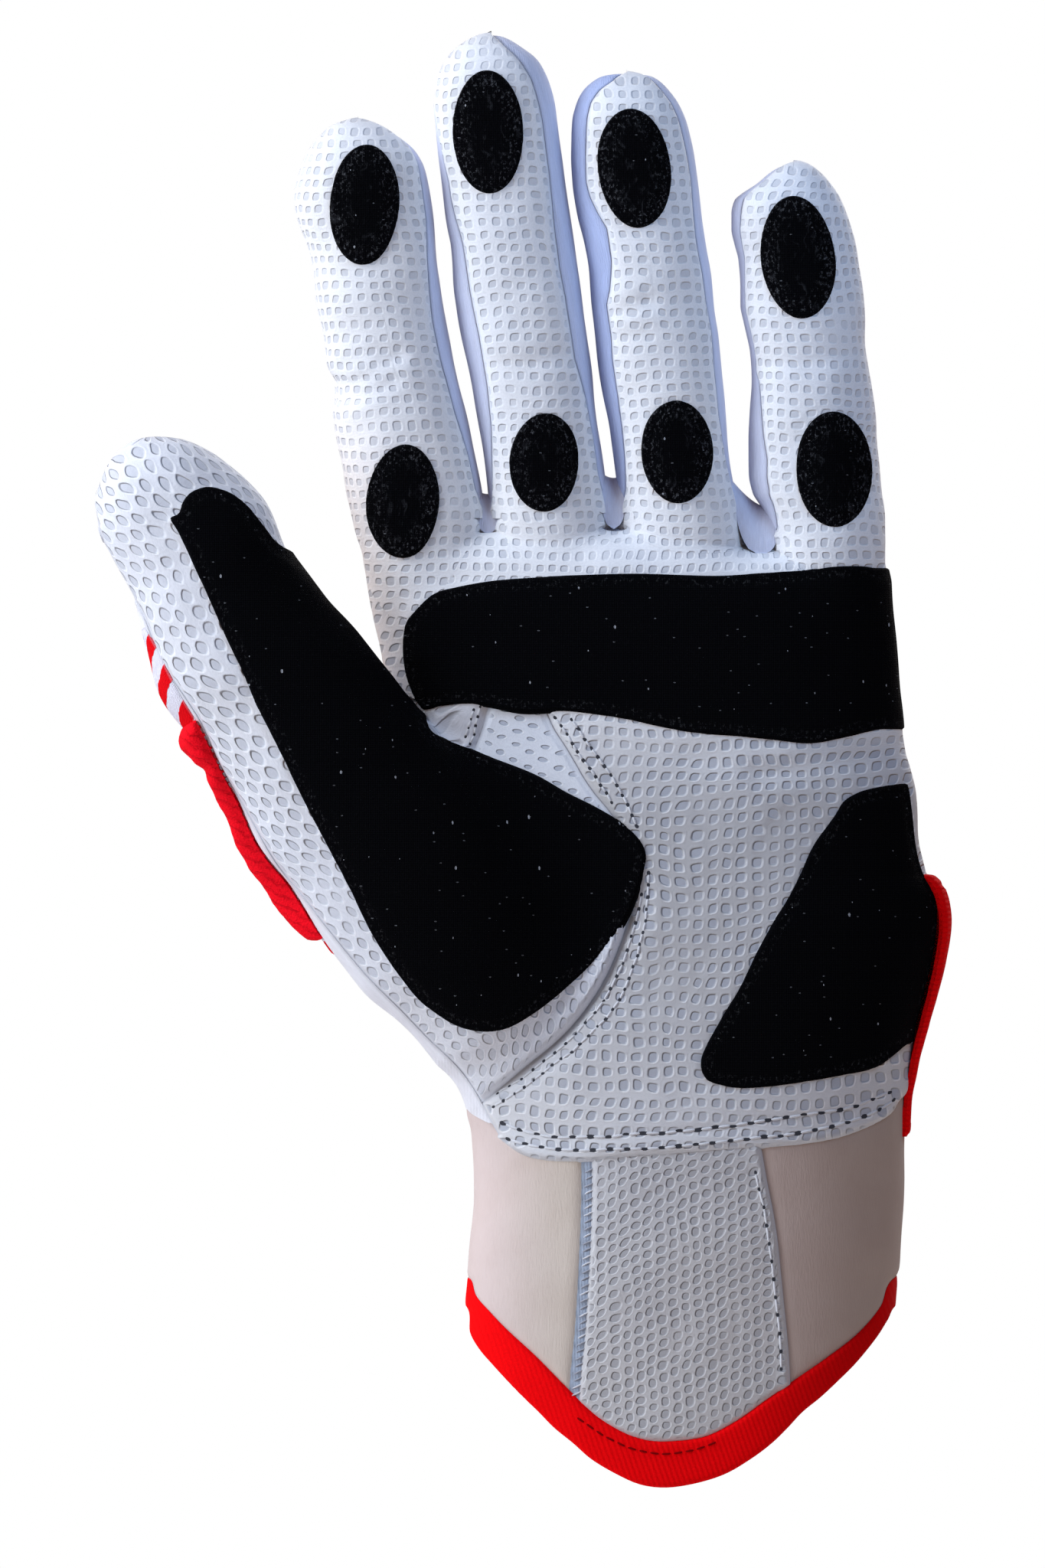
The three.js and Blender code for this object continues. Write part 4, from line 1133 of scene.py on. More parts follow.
def finger_blend(name, which):
    f = FINGER[name]
    if which == "low":
        return ("hand", f"{name}_lower", along(f["base"], -1), along(f["base"], 13))
    return (f"{name}_lower", f"{name}_upper", along(f["mid"], -9), along(f["mid"], 9))


def thumb_blend(which):
    if which == "low":
        return ("hand", "thumb_lower", along(THUMB_BASE, -1), along(THUMB_BASE, 16))
    return ("thumb_lower", "thumb_upper", along(THUMB_MID, -8), along(THUMB_MID, 8))


def place(parts, material, slot, hand_name, hand_nodes=(), names="{k}_{part}", nodes_low="", nodes_up="", suffix="", padded=None):
    """Makes one object for each body that these parts lie on."""
    hand = []
    made = {}
    for name, part in parts.items():
        if kind(name) == "palm":
            hand.append(part)
            continue
        pieces = split_thumb(part) if name == "thumb" else split_finger(name, part)
        if len(pieces[0][1]):
            hand.append(pieces[0])
        for which, piece in (("low", pieces[1]), ("up", pieces[2])):
            if len(piece[1]) < 8:
                continue
            label = names.format(k=name, part="proximal" if which == "low" else "distal")
            node = (nodes_low if which == "low" else nodes_up).format(k=name)
            nodes = tuple(n for n in node.split() if n)
            bl = thumb_blend(which) if name == "thumb" else finger_blend(name, which)
            made[label] = make_object("skin_" + label, *piece, material, None, slot, nodes, bl, padded)
    if hand and hand_name:
        A, T = join(hand)
        if len(T):
            made[hand_name] = make_object("skin_" + hand_name, A, T, material, "hand", slot, hand_nodes, None, padded)
    return made


# ---------------------------------------------------------------- materials
class Nodes:
    """A short way to write a material's node tree."""

    def __init__(self, name):
        self.mat = bpy.data.materials.new(name)
        self.mat.use_nodes = True
        self.nt = self.mat.node_tree
        self.bsdf = self.nt.nodes["Principled BSDF"]

    def put(self, socket, value):
        if hasattr(value, "is_output"):
            self.nt.links.new(value, socket)
        elif value is not None:
            socket.default_value = value

    def math(self, op, a, b=None, c=None):
        n = self.nt.nodes.new("ShaderNodeMath")
        n.operation = op
        for i, v in enumerate((a, b, c)):
            self.put(n.inputs[i], v)
        return n.outputs[0]

    def ramp(self, value, lo, hi, to_lo=0.0, to_hi=1.0, kind="SMOOTHSTEP"):
        n = self.nt.nodes.new("ShaderNodeMapRange")
        n.interpolation_type = kind
        n.inputs["From Min"].default_value, n.inputs["From Max"].default_value = lo, hi
        n.inputs["To Min"].default_value, n.inputs["To Max"].default_value = to_lo, to_hi
        self.put(n.inputs["Value"], value)
        return n.outputs["Result"]

    def mix(self, fac, a, b, mode="MIX"):
        n = self.nt.nodes.new("ShaderNodeMix")
        n.data_type = "RGBA"
        n.blend_type = mode
        self.put(n.inputs[0], fac)
        for s, v in ((n.inputs[6], a), (n.inputs[7], b)):
            self.put(s, (*v, 1) if isinstance(v, tuple) else v)
        return n.outputs[2]

    def attribute(self, name="pat"):
        n = self.nt.nodes.new("ShaderNodeAttribute")
        n.attribute_name = name
        return n.outputs["Vector"]

    def split(self, vector):
        n = self.nt.nodes.new("ShaderNodeSeparateXYZ")
        self.nt.links.new(vector, n.inputs[0])
        return n.outputs

    def join(self, x, y, z=0.0):
        n = self.nt.nodes.new("ShaderNodeCombineXYZ")
        for i, v in enumerate((x, y, z)):
            self.put(n.inputs[i], v)
        return n.outputs[0]

    def place(self):
        n = self.nt.nodes.new("ShaderNodeTexCoord")
        return n.outputs["Object"]

    def noise(self, vector, scale, detail=2.0, rough=0.5, out="Fac"):
        n = self.nt.nodes.new("ShaderNodeTexNoise")
        self.nt.links.new(vector, n.inputs["Vector"])
        n.inputs["Scale"].default_value = scale
        n.inputs["Detail"].default_value = detail
        n.inputs["Roughness"].default_value = rough
        return n.outputs[out]

    def scaled(self, vector, scale):
        n = self.nt.nodes.new("ShaderNodeMapping")
        n.inputs["Scale"].default_value = scale
        self.nt.links.new(vector, n.inputs["Vector"])
        return n.outputs[0]

    def cells(self, vector, scale, feature="F1", randomness=1.0, flat=False):
        n = self.nt.nodes.new("ShaderNodeTexVoronoi")
        n.voronoi_dimensions = "2D" if flat else "3D"
        n.feature = feature
        self.nt.links.new(vector, n.inputs["Vector"])
        n.inputs["Scale"].default_value = scale
        n.inputs["Randomness"].default_value = randomness
        return n.outputs

    def bump(self, height, distance, strength=1.0):
        n = self.nt.nodes.new("ShaderNodeBump")
        n.inputs["Distance"].default_value = distance
        n.inputs["Strength"].default_value = strength
        self.nt.links.new(height, n.inputs["Height"])
        self.nt.links.new(n.outputs[0], self.bsdf.inputs["Normal"])

    def colour(self, value):
        self.put(self.bsdf.inputs["Base Color"], (*value, 1) if isinstance(value, tuple) else value)

    def rough(self, value):
        self.put(self.bsdf.inputs["Roughness"], value)

    def sheen(self, weight, rough, tint=(1, 1, 1)):
        self.bsdf.inputs["Sheen Weight"].default_value = weight
        self.bsdf.inputs["Sheen Roughness"].default_value = rough
        self.bsdf.inputs["Sheen Tint"].default_value = (*tint, 1)

    def edge(self, width=0.5):
        """1 at a panel's edge, 0 further in than width (mm)."""
        return self.ramp(self.split(self.attribute())[2], 0.0, width, 1.0, 0.0)


def leather(name, base, rx, ry, power, stagger, shear, depth=0.00042, lit_side=(0.7, -0.7), palm=False, sink=0.72):
    """White leather embossed with a raised net: pits on a lattice kept in the pat attribute, one cell to a unit."""
    m = Nodes(name)
    pat = m.attribute()
    wob = m.nt.nodes.new("ShaderNodeTexNoise")
    m.nt.links.new(pat, wob.inputs["Vector"])
    wob.inputs["Scale"].default_value = 0.13
    wob.inputs["Detail"].default_value = 2
    wx, wy, _ = m.split(wob.outputs["Color"])
    u, v, d = m.split(pat)
    u = m.math("ADD", u, m.math("MULTIPLY", m.math("SUBTRACT", wx, 0.5), 1.2))
    v = m.math("ADD", v, m.math("MULTIPLY", m.math("SUBTRACT", wy, 0.5), 1.2))
    col = m.math("FLOOR", u)
    fx = m.math("SUBTRACT", m.math("SUBTRACT", u, col), 0.5)
    odd = m.math("PINGPONG", col, 1.0)
    v2 = m.math("ADD", v, m.math("MULTIPLY", odd, 0.5 * stagger)) if stagger else v
    rowi = m.math("FLOOR", v2)
    fy = m.math("SUBTRACT", m.math("SUBTRACT", v2, rowi), 0.5)
    cell = m.nt.nodes.new("ShaderNodeTexWhiteNoise")
    cell.noise_dimensions = "2D"
    m.nt.links.new(m.join(col, rowi), cell.inputs["Vector"])
    r1, r2, r3 = m.split(cell.outputs["Color"])
    lean = m.math("ADD", shear, m.math("MULTIPLY", m.math("SUBTRACT", m.noise(pat, 0.1, 1), 0.5), 1.1))
    fx = m.math("ADD", fx, m.math("MULTIPLY", fy, lean))
    fx = m.math("ADD", fx, m.math("MULTIPLY", m.math("SUBTRACT", r1, 0.5), 0.1))
    fy = m.math("ADD", fy, m.math("MULTIPLY", m.math("SUBTRACT", r2, 0.5), 0.1))
    size = m.math("ADD", 0.9, m.math("MULTIPLY", r3, 0.2))
    a = m.math("POWER", m.math("DIVIDE", m.math("ABSOLUTE", fx), m.math("MULTIPLY", size, rx)), power)
    b = m.math("POWER", m.math("DIVIDE", m.math("ABSOLUTE", fy), m.math("MULTIPLY", size, ry)), power)
    rho = m.math("POWER", m.math("ADD", a, b), 1 / power)
    net = m.ramp(rho, 0.78, 1.12)
    toward = m.math("ADD", m.math("MULTIPLY", fx, lit_side[0] / rx), m.math("MULTIPLY", fy, lit_side[1] / ry))
    rim = m.ramp(m.math("ABSOLUTE", m.math("SUBTRACT", rho, 1.3)), 0.0, 0.4, 1.0, 0.0)
    grain = m.noise(pat, 5.5, 4, 0.6)
    fibre = m.noise(m.scaled(pat, (1, 3.5, 1)), 2.2, 3, 0.6)
    # the emboss fades out on a turned edge and wherever the leather is stretched smooth
    fade = m.ramp(d, 0.35, 1.3)
    patchy = m.ramp(m.noise(pat, 0.13, 1), 0.3, 0.52, 0.55, 1.0)
    amount = m.math("MULTIPLY", fade, patchy)
    x, _, z = m.split(m.place())
    if palm:  # stretched flatter along the fingers
        amount = m.math("MULTIPLY", amount, m.ramp(z, 0.11, 0.145, 1.0, 0.56))
    height = m.math("ADD", net, m.math("MULTIPLY", rim, 0.08))
    height = m.math("MULTIPLY", height, amount)
    height = m.math("ADD", height, m.math("MULTIPLY", grain, 0.16))
    height = m.math("ADD", height, m.math("MULTIPLY", fibre, 0.14))
    m.bump(height, depth)
    tone = m.noise(m.place(), 22, 2)
    light = m.mix(m.ramp(tone, 0.3, 0.7), base, tuple(min(1, c * k) for c, k in zip(base, (1.045, 1.03, 1.0))))
    if palm:  # painted shade: darker and greyer towards the heel; painted light: a warmer, brighter band at the edge beside the thumb
        painted_shade = m.math("MULTIPLY", m.ramp(z, 0.088, 0.116, 1.0, 0.0), m.ramp(z, 0.04, 0.065, 0.5, 1.0))
        light = m.mix(painted_shade, light, tuple(c * k for c, k in zip(base, (0.62, 0.60, 0.58))))
        painted_light = m.math("MULTIPLY", m.ramp(m.math("ADD", x, m.math("MULTIPLY", z, 0.13)), -0.038, -0.026, 1.0, 0.0), m.ramp(z, 0.145, 0.17, 1.0, 0.0))
        light = m.mix(painted_light, light, (0.96, 0.90, 0.86))
    # painted shade darkens each pit's floor; next, a painted shadow on the inner wall away from the key light and a
    # painted highlight on the rim facing it
    dark = tuple(c * k for c, k in zip(base, (0.5, 0.52, 0.57)))
    pit = m.math("MULTIPLY", m.math("SUBTRACT", 1.0, net), amount)
    c1 = m.mix(m.math("MULTIPLY", pit, sink), light, dark)
    shade = m.math("MULTIPLY", m.ramp(m.math("ABSOLUTE", m.math("SUBTRACT", rho, 0.92)), 0.0, 0.24, 1.0, 0.0), m.ramp(toward, -0.2, -1.1))
    c1 = m.mix(m.math("MULTIPLY", m.math("MULTIPLY", shade, amount), 0.5), c1, tuple(c * 0.3 for c in base))
    lit_edge = m.math("MULTIPLY", m.ramp(m.math("ABSOLUTE", m.math("SUBTRACT", rho, 1.2)), 0.0, 0.26, 1.0, 0.0), m.ramp(toward, 0.1, 1.0))
    c2 = m.mix(m.math("MULTIPLY", m.math("MULTIPLY", lit_edge, amount), 0.65), c1, (0.97, 0.975, 0.985))
    c3 = m.mix(m.math("MULTIPLY", m.ramp(grain, 0.35, 0.62, 1.0, 0.0), 0.16), c2, dark)
    # painted shade along the panel's turned-in edge
    c4 = m.mix(m.math("MULTIPLY", m.edge(0.55), 0.5), c3, (0.42, 0.44, 0.5))
    m.colour(c4)
    m.rough(m.ramp(grain, 0.3, 0.7, 0.5, 0.66))
    m.bsdf.inputs["Specular IOR Level"].default_value = 0.38
    return m.mat


def lycra(name, base, dark=0.86):
    """Fine stretch knit: ribs along the piece, soft folds, a faint sheen."""
    m = Nodes(name)
    pat = m.attribute()
    u, v, d = m.split(pat)
    ribs = m.math("SINE", m.math("MULTIPLY", u, 2 * math.pi / 0.2))
    rows = m.math("SINE", m.math("MULTIPLY", v, 2 * math.pi / 0.26))
    knit = m.math("MULTIPLY", ribs, m.math("ADD", 0.7, m.math("MULTIPLY", rows, 0.3)))
    soft = m.noise(m.scaled(pat, (1, 0.35, 1)), 1.4, 3)
    m.bump(m.math("ADD", m.math("MULTIPLY", knit, 0.12), m.math("MULTIPLY", soft, 1.2)), 0.00022)
    c = m.mix(m.ramp(soft, 0.3, 0.7), tuple(x * 0.94 for x in base), base)
    c = m.mix(m.math("MULTIPLY", m.ramp(knit, -1, 1, 1.0, 0.0), 0.08), c, tuple(x * dark for x in base))
    # painted shade along the panel's turned-in edge
    c = m.mix(m.math("MULTIPLY", m.edge(0.6), 0.45), c, tuple(x * 0.5 for x in base))
    m.colour(c)
    m.rough(0.72)
    m.bsdf.inputs["Specular IOR Level"].default_value = 0.25
    m.sheen(0.12, 0.5)
    return m.mat


def grip(name, streaks_and_glints=0.0):
    """Black woven grip fabric with lint on it."""
    m = Nodes(name)
    p = m.scaled(m.place(), (1000, 1000, 1000))
    x, y, z = m.split(p)
    pitch = 2 * math.pi / 0.62
    s = m.math("ADD", x, z)
    t = m.math("SUBTRACT", x, z)
    weave = m.math("MULTIPLY", m.math("SINE", m.math("MULTIPLY", s, pitch)), m.math("SINE", m.math("MULTIPLY", t, pitch)))
    fuzz = m.noise(p, 2.4, 4, 0.65)
    streak = m.noise(m.scaled(m.join(m.math("ADD", x, m.math("MULTIPLY", m.noise(p, 0.25, 2), 5.0)), y, z), (1.4, 1, 0.45)), 0.9, 4, 0.62)
    height = m.math("ADD", m.math("MULTIPLY", weave, 0.35), m.math("MULTIPLY", fuzz, 0.8))
    height = m.math("ADD", height, m.math("MULTIPLY", streak, streaks_and_glints * 2.2))
    m.bump(height, 0.00022)
    # lint: a few short bright flecks
    x2 = m.join(m.math("ADD", x, m.math("MULTIPLY", y, 0.3)), z)
    v = m.cells(m.scaled(x2, (1.0, 0.6, 1.0)), 0.2, flat=True)
    keep = m.math("GREATER_THAN", m.split(v["Color"])[0], 0.6)
    small = m.math("ADD", 0.012, m.math("MULTIPLY", m.math("POWER", m.split(v["Color"])[1], 2.0), 0.03))
    fleck = m.math("MULTIPLY", m.math("LESS_THAN", v["Distance"], small), keep)
    v2 = m.cells(m.scaled(x2, (0.5, 1.1, 1.0)), 0.34, flat=True)
    keep2 = m.math("GREATER_THAN", m.split(v2["Color"])[2], 0.6)
    fleck2 = m.math("MULTIPLY", m.math("LESS_THAN", v2["Distance"], 0.034), keep2)
    lint = m.math("MAXIMUM", m.math("MULTIPLY", fleck, 0.75), m.math("MULTIPLY", fleck2, 0.25))
    c = m.mix(m.ramp(weave, -1, 1), (0.0004, 0.0004, 0.0007), (0.0024, 0.0024, 0.0036))
    c = m.mix(m.math("MULTIPLY", m.ramp(fuzz, 0.5, 0.8), 0.6), c, (0.006, 0.006, 0.007))
    d = m.split(m.attribute())[2]
    row = m.math("MULTIPLY", m.ramp(d, 0.7, 1.2), m.ramp(d, 2.1, 2.7, 1.0, 0.0))
    tuft = m.ramp(m.noise(m.scaled(p, (1.3, 1, 1.0)), 1.5, 4, 0.7), 0.54, 0.68)
    c = m.mix(m.math("MULTIPLY", m.math("MULTIPLY", row, tuft), 0.75), c, (0.035, 0.036, 0.038))
    # painted highlight: glinting streaks on the fibres and a brighter glint band inside the patch's edge; the streaks
    # in the bump above are the real nap
    if streaks_and_glints:
        c = m.mix(m.math("MULTIPLY", m.ramp(streak, 0.56, 0.76), 0.6 * streaks_and_glints), c, (0.032, 0.033, 0.037))
        c = m.mix(m.math("MULTIPLY", m.math("MULTIPLY", m.ramp(d, 0.1, 0.5), m.ramp(d, 2.4, 4.4, 1.0, 0.0)), m.math("MULTIPLY", tuft, 0.6)), c, (0.09, 0.092, 0.1))
    c = m.mix(m.math("MULTIPLY", m.ramp(d, 0.0, 0.5, 1.0, 0.0), 0.7), c, (0.006, 0.006, 0.006))
    c = m.mix(lint, c, (0.42, 0.44, 0.47))
    m.colour(c)
    m.rough(m.ramp(fuzz, 0.3, 0.7, 0.78, 0.95))
    m.bsdf.inputs["Specular IOR Level"].default_value = 0.03
    return m.mat


def red_cloth(name, base, rib, mesh=0.0, depth=0.0003, painted_shade=0.0):
    """Red knit: rib is the pitch in mm of its courses, mesh makes the open airy knit of the guard."""
    m = Nodes(name)
    pat = m.attribute()
    p = m.scaled(m.place(), (1000, 1000, 1000))
    u, v, d = m.split(pat)
    fuzz = m.noise(p, 3.0, 3)
    if mesh:
        x, y, z = m.split(p)
        wander = m.math("MULTIPLY", m.noise(p, 0.35, 2), 7.0)
        s1 = m.math("SINE", m.math("ADD", m.math("MULTIPLY", m.math("ADD", z, m.math("MULTIPLY", x, 0.45)), 2 * math.pi / 1.9), wander))
        s2 = m.math("SINE", m.math("ADD", m.math("MULTIPLY", m.math("SUBTRACT", z, m.math("MULTIPLY", y, 0.9)), 2 * math.pi / 1.1), wander))
        hole = m.math("MULTIPLY", m.ramp(s1, 0.2, 0.95), m.ramp(s2, -0.4, 0.8, 0.45, 1.0))
        height = m.math("ADD", m.math("MULTIPLY", m.math("SUBTRACT", 1.0, hole), 0.5), m.math("MULTIPLY", fuzz, 0.9))
        c = m.mix(m.math("MULTIPLY", hole, 0.5), base, tuple(x * 0.5 for x in base))
    else:
        w = m.math("SINE", m.math("MULTIPLY", v, 2 * math.pi / rib))
        height = m.math("ADD", m.math("MULTIPLY", w, 0.3), m.math("MULTIPLY", fuzz, 0.7))
        c = m.mix(m.ramp(w, -1, 1, 0.14, 0.0), base, tuple(x * 0.55 for x in base))
    c = m.mix(m.math("MULTIPLY", m.ramp(fuzz, 0.35, 0.65, 1.0, 0.0), 0.25), c, tuple(x * 0.6 for x in base))
    if painted_shade:  # painted shade: darker red towards the little finger's side, away from the lamps
        c = m.mix(m.math("MULTIPLY", m.ramp(m.split(p)[0], 6.0, 34.0), painted_shade), c, tuple(x * 0.4 for x in base))
    m.bump(height, depth)
    m.colour(c)
    m.rough(0.82)
    m.bsdf.inputs["Specular IOR Level"].default_value = 0.04
    return m.mat


def suede(name, base, base2, x0, x1):
    """Smooth brushed cuff fabric, base on the left passing to base2 on the right, x in mm."""
    m = Nodes(name)
    p = m.scaled(m.place(), (1000, 1000, 1000))
    x, y, z = m.split(p)
    nap = m.noise(m.scaled(p, (2.2, 2.2, 0.4)), 1.6, 4, 0.6)
    mottle = m.noise(p, 0.16, 2)
    m.bump(m.math("ADD", nap, m.math("MULTIPLY", mottle, 1.5)), 0.0001)
    c = m.mix(m.ramp(x, x0, x1), base, base2)
    c = m.mix(m.ramp(mottle, 0.35, 0.65, 0.0, 0.5), c, m.mix(1.0, c, (0.95, 0.93, 0.92), "MULTIPLY"))
    c = m.mix(m.math("MULTIPLY", m.ramp(nap, 0.4, 0.7), 0.25), c, m.mix(1.0, c, (0.93, 0.93, 0.93), "MULTIPLY"))
    v = m.cells(m.scaled(p, (1, 0.3, 1)), 0.12)
    speck = m.math("MULTIPLY", m.math("LESS_THAN", v["Distance"], 0.02), m.math("GREATER_THAN", m.split(v["Color"])[0], 0.75))
    c = m.mix(m.math("MULTIPLY", speck, 0.6), c, (0.3, 0.18, 0.15))
    # painted shade along the panel's turned-in edge
    c = m.mix(m.math("MULTIPLY", m.edge(0.8), 0.45), c, (0.3, 0.26, 0.26))
    m.colour(c)
    m.rough(0.8)
    m.bsdf.inputs["Specular IOR Level"].default_value = 0.25
    m.sheen(0.1, 0.5)
    return m.mat


def striped(name, base, bar):
    """White stretch knit with woven red bars; u counts the bars, v runs round the thumb in mm."""
    m = Nodes(name)
    pat = m.attribute()
    u, v, d = m.split(pat)
    p = m.scaled(m.place(), (1000, 1000, 1000))
    wob = m.noise(p, 0.55, 2)
    u2 = m.math("ADD", u, m.math("MULTIPLY", m.math("SUBTRACT", wob, 0.5), 0.16))
    f = m.math("ABSOLUTE", m.math("SUBTRACT", m.math("FRACT", m.math("ADD", u2, 0.10)), 0.5))
    red = m.ramp(f, 0.225, 0.255, 1.0, 0.0)
    ribs = m.math("SINE", m.math("MULTIPLY", v, 2 * math.pi / 0.3))
    courses = m.math("SINE", m.math("MULTIPLY", u, 2 * math.pi / 0.05))
    knit = m.math("ADD", m.math("MULTIPLY", ribs, 0.5), m.math("MULTIPLY", courses, 0.35))
    fuzz = m.noise(p, 2.6, 3)
    m.bump(m.math("ADD", m.math("MULTIPLY", knit, 0.3), m.math("ADD", m.math("MULTIPLY", fuzz, 0.8), m.math("MULTIPLY", red, 0.5))), 0.00022)
    white = m.mix(m.ramp(fuzz, 0.3, 0.7), tuple(x * 0.92 for x in base), base)
    deep = m.mix(m.ramp(knit, -0.8, 0.8), tuple(x * 0.62 for x in bar), bar)
    c = m.mix(red, white, deep)
    # painted shade along the panel's turned-in edge
    m.colour(m.mix(m.math("MULTIPLY", m.edge(0.5), 0.3), c, (0.4, 0.4, 0.46)))
    m.rough(0.85)
    m.bsdf.inputs["Specular IOR Level"].default_value = 0.04
    return m.mat


def pile(name, base, pitch, depth):
    """Hook or loop tape: a close field of small hooks or loops."""
    m = Nodes(name)
    p = m.scaled(m.place(), (1000, 1000, 1000))
    cell = m.cells(p, 1 / pitch)
    fuzz = m.noise(p, 3.0, 4, 0.65)
    tip = m.ramp(cell["Distance"], 0.05, 0.5, 1.0, 0.0)
    m.bump(m.math("ADD", tip, m.math("MULTIPLY", fuzz, 0.6)), depth)
    c = m.mix(tip, tuple(x * 0.45 for x in base), base)
    m.colour(m.mix(m.ramp(fuzz, 0.5, 0.8, 0.0, 0.5), c, tuple(min(1, x * 1.5) for x in base)))
    m.rough(0.85)
    m.bsdf.inputs["Specular IOR Level"].default_value = 0.2
    return m.mat


def thread(name, base, rough=0.6):
    m = Nodes(name)
    p = m.scaled(m.place(), (1000, 1000, 1000))
    n = m.noise(m.scaled(p, (3, 3, 3)), 2.0, 2)
    m.bump(n, 0.0001)
    m.colour(m.mix(n, tuple(x * 0.75 for x in base), base))
    m.rough(rough)
    return m.mat


WHITE = leather("leather_net", (0.80, 0.815, 0.845), 0.30, 0.29, 3.4, 0, -0.15, 0.00028, palm=True, sink=0.86)
LENS = leather("leather_lens", (0.71, 0.73, 0.785), 0.31, 0.385, 1.6, 1, 0.12, 0.00036, (0.1, -1.0), sink=0.45)
CUFF_LEATHER = leather("leather_cuff", (0.56, 0.555, 0.565), 0.31, 0.335, 2.7, 1, -0.38, 0.00028, (1.0, -0.4), sink=0.5)
FINE = leather("leather_fine", (0.74, 0.78, 0.85), 0.3, 0.16, 2.0, 1, 0.45, 0.00022)
LYCRA = lycra("lycra_white", (0.66, 0.70, 0.86))
# a darker copy of the lavender side fabric: painted shade for the ring finger's radial side, which the middle finger
# shades
LYCRA_SHADE = lycra("lycra_lavender_painted_shade", (0.46, 0.54, 0.80))
BACK_KNIT = lycra("back_knit_white", (0.80, 0.80, 0.84))
BLACK = grip("grip_black", 0.0)
BLACK_OVAL = grip("grip_black_stitched", 1.0)
RED = red_cloth("binding_red", (0.98, 0.001, 0.003), 0.9, 0.0, 0.00008, 0.55)
RED_MESH = red_cloth("guard_red_mesh", (0.98, 0.005, 0.016), 1.0, 1.0, 0.0003)
CREAM = suede("cuff_cream", (0.66, 0.545, 0.51), (0.63, 0.55, 0.47), -36, -18)
# the taupe is the panel's own colour; its darkening towards the little finger's side is painted shade
TAUPE = suede("cuff_taupe_and_painted_shade", (0.53, 0.42, 0.37), (0.44, 0.345, 0.29), 13, 34)
LINING = lycra("lining", (0.55, 0.55, 0.56))
STRAP_RED = red_cloth("strap_red_weave", (0.98, 0.001, 0.003), 0.9)
# the tape's grey-blue is partly its own colour, partly painted shade of the recessed groove it lies in
TAPE = lycra("seam_tape_grey_and_painted_shade", (0.36, 0.42, 0.52))
STRIPED = striped("knit_with_red_bars", (0.80, 0.78, 0.86), (0.97, 0.003, 0.009))
HOOKS = pile("hook_tape", (0.045, 0.045, 0.05), 0.55, 0.0005)
LOOPS = pile("loop_pile", (0.62, 0.62, 0.66), 0.4, 0.0003)
THREAD_RED = red_cloth("thread_red", (0.26, 0.001, 0.002), 0.9, 0.0, 0.0001)
THREAD = thread("thread_white", (0.78, 0.79, 0.82))
THREAD_GREY = thread("thread_grey", (0.42, 0.44, 0.5))
THREAD_BLACK = thread("thread_black", (0.012, 0.012, 0.013), 0.85)
# painted shade: the near-black stands for the shaded inside of each needle hole
HOLE = thread("needle_hole", (0.035, 0.037, 0.048), 0.9)


# ---------------------------------------------------------------- panels of the glove
HOLD = 2.2  # the leather under a grip patch is cut away this far inside the patch, in mm
CREASES = [  # finger, line, depth and width in mm
    ("index", [(430, 500), (446, 505), (462, 503), (482, 492), (500, 478), (520, 466)], 0.38, 1.3),
    ("index", [(436, 520), (462, 522), (490, 512), (515, 498)], 0.35, 1.2),
    ("index", [(450, 478), (474, 470), (498, 458)], 0.25, 1.2),
    ("middle", [(604, 470), (640, 478), (690, 476), (740, 466)], 0.22, 1.6),
    ("ring", [(762, 402), (785, 412), (815, 408), (845, 396)], 0.38, 1.5),
    ("ring", [(768, 432), (800, 440), (840, 436)], 0.22, 1.5),
    ("little", [(968, 470), (1000, 478), (1050, 476), (1100, 466)], 0.22, 1.6),
    ("palm", [(990, 1010), (1040, 1003), (1100, 992), (1165, 975)], 0.35, 1.8),
    ("palm", [(900, 985), (960, 1000), (1020, 1012), (1075, 1022)], 0.22, 2.0),
]
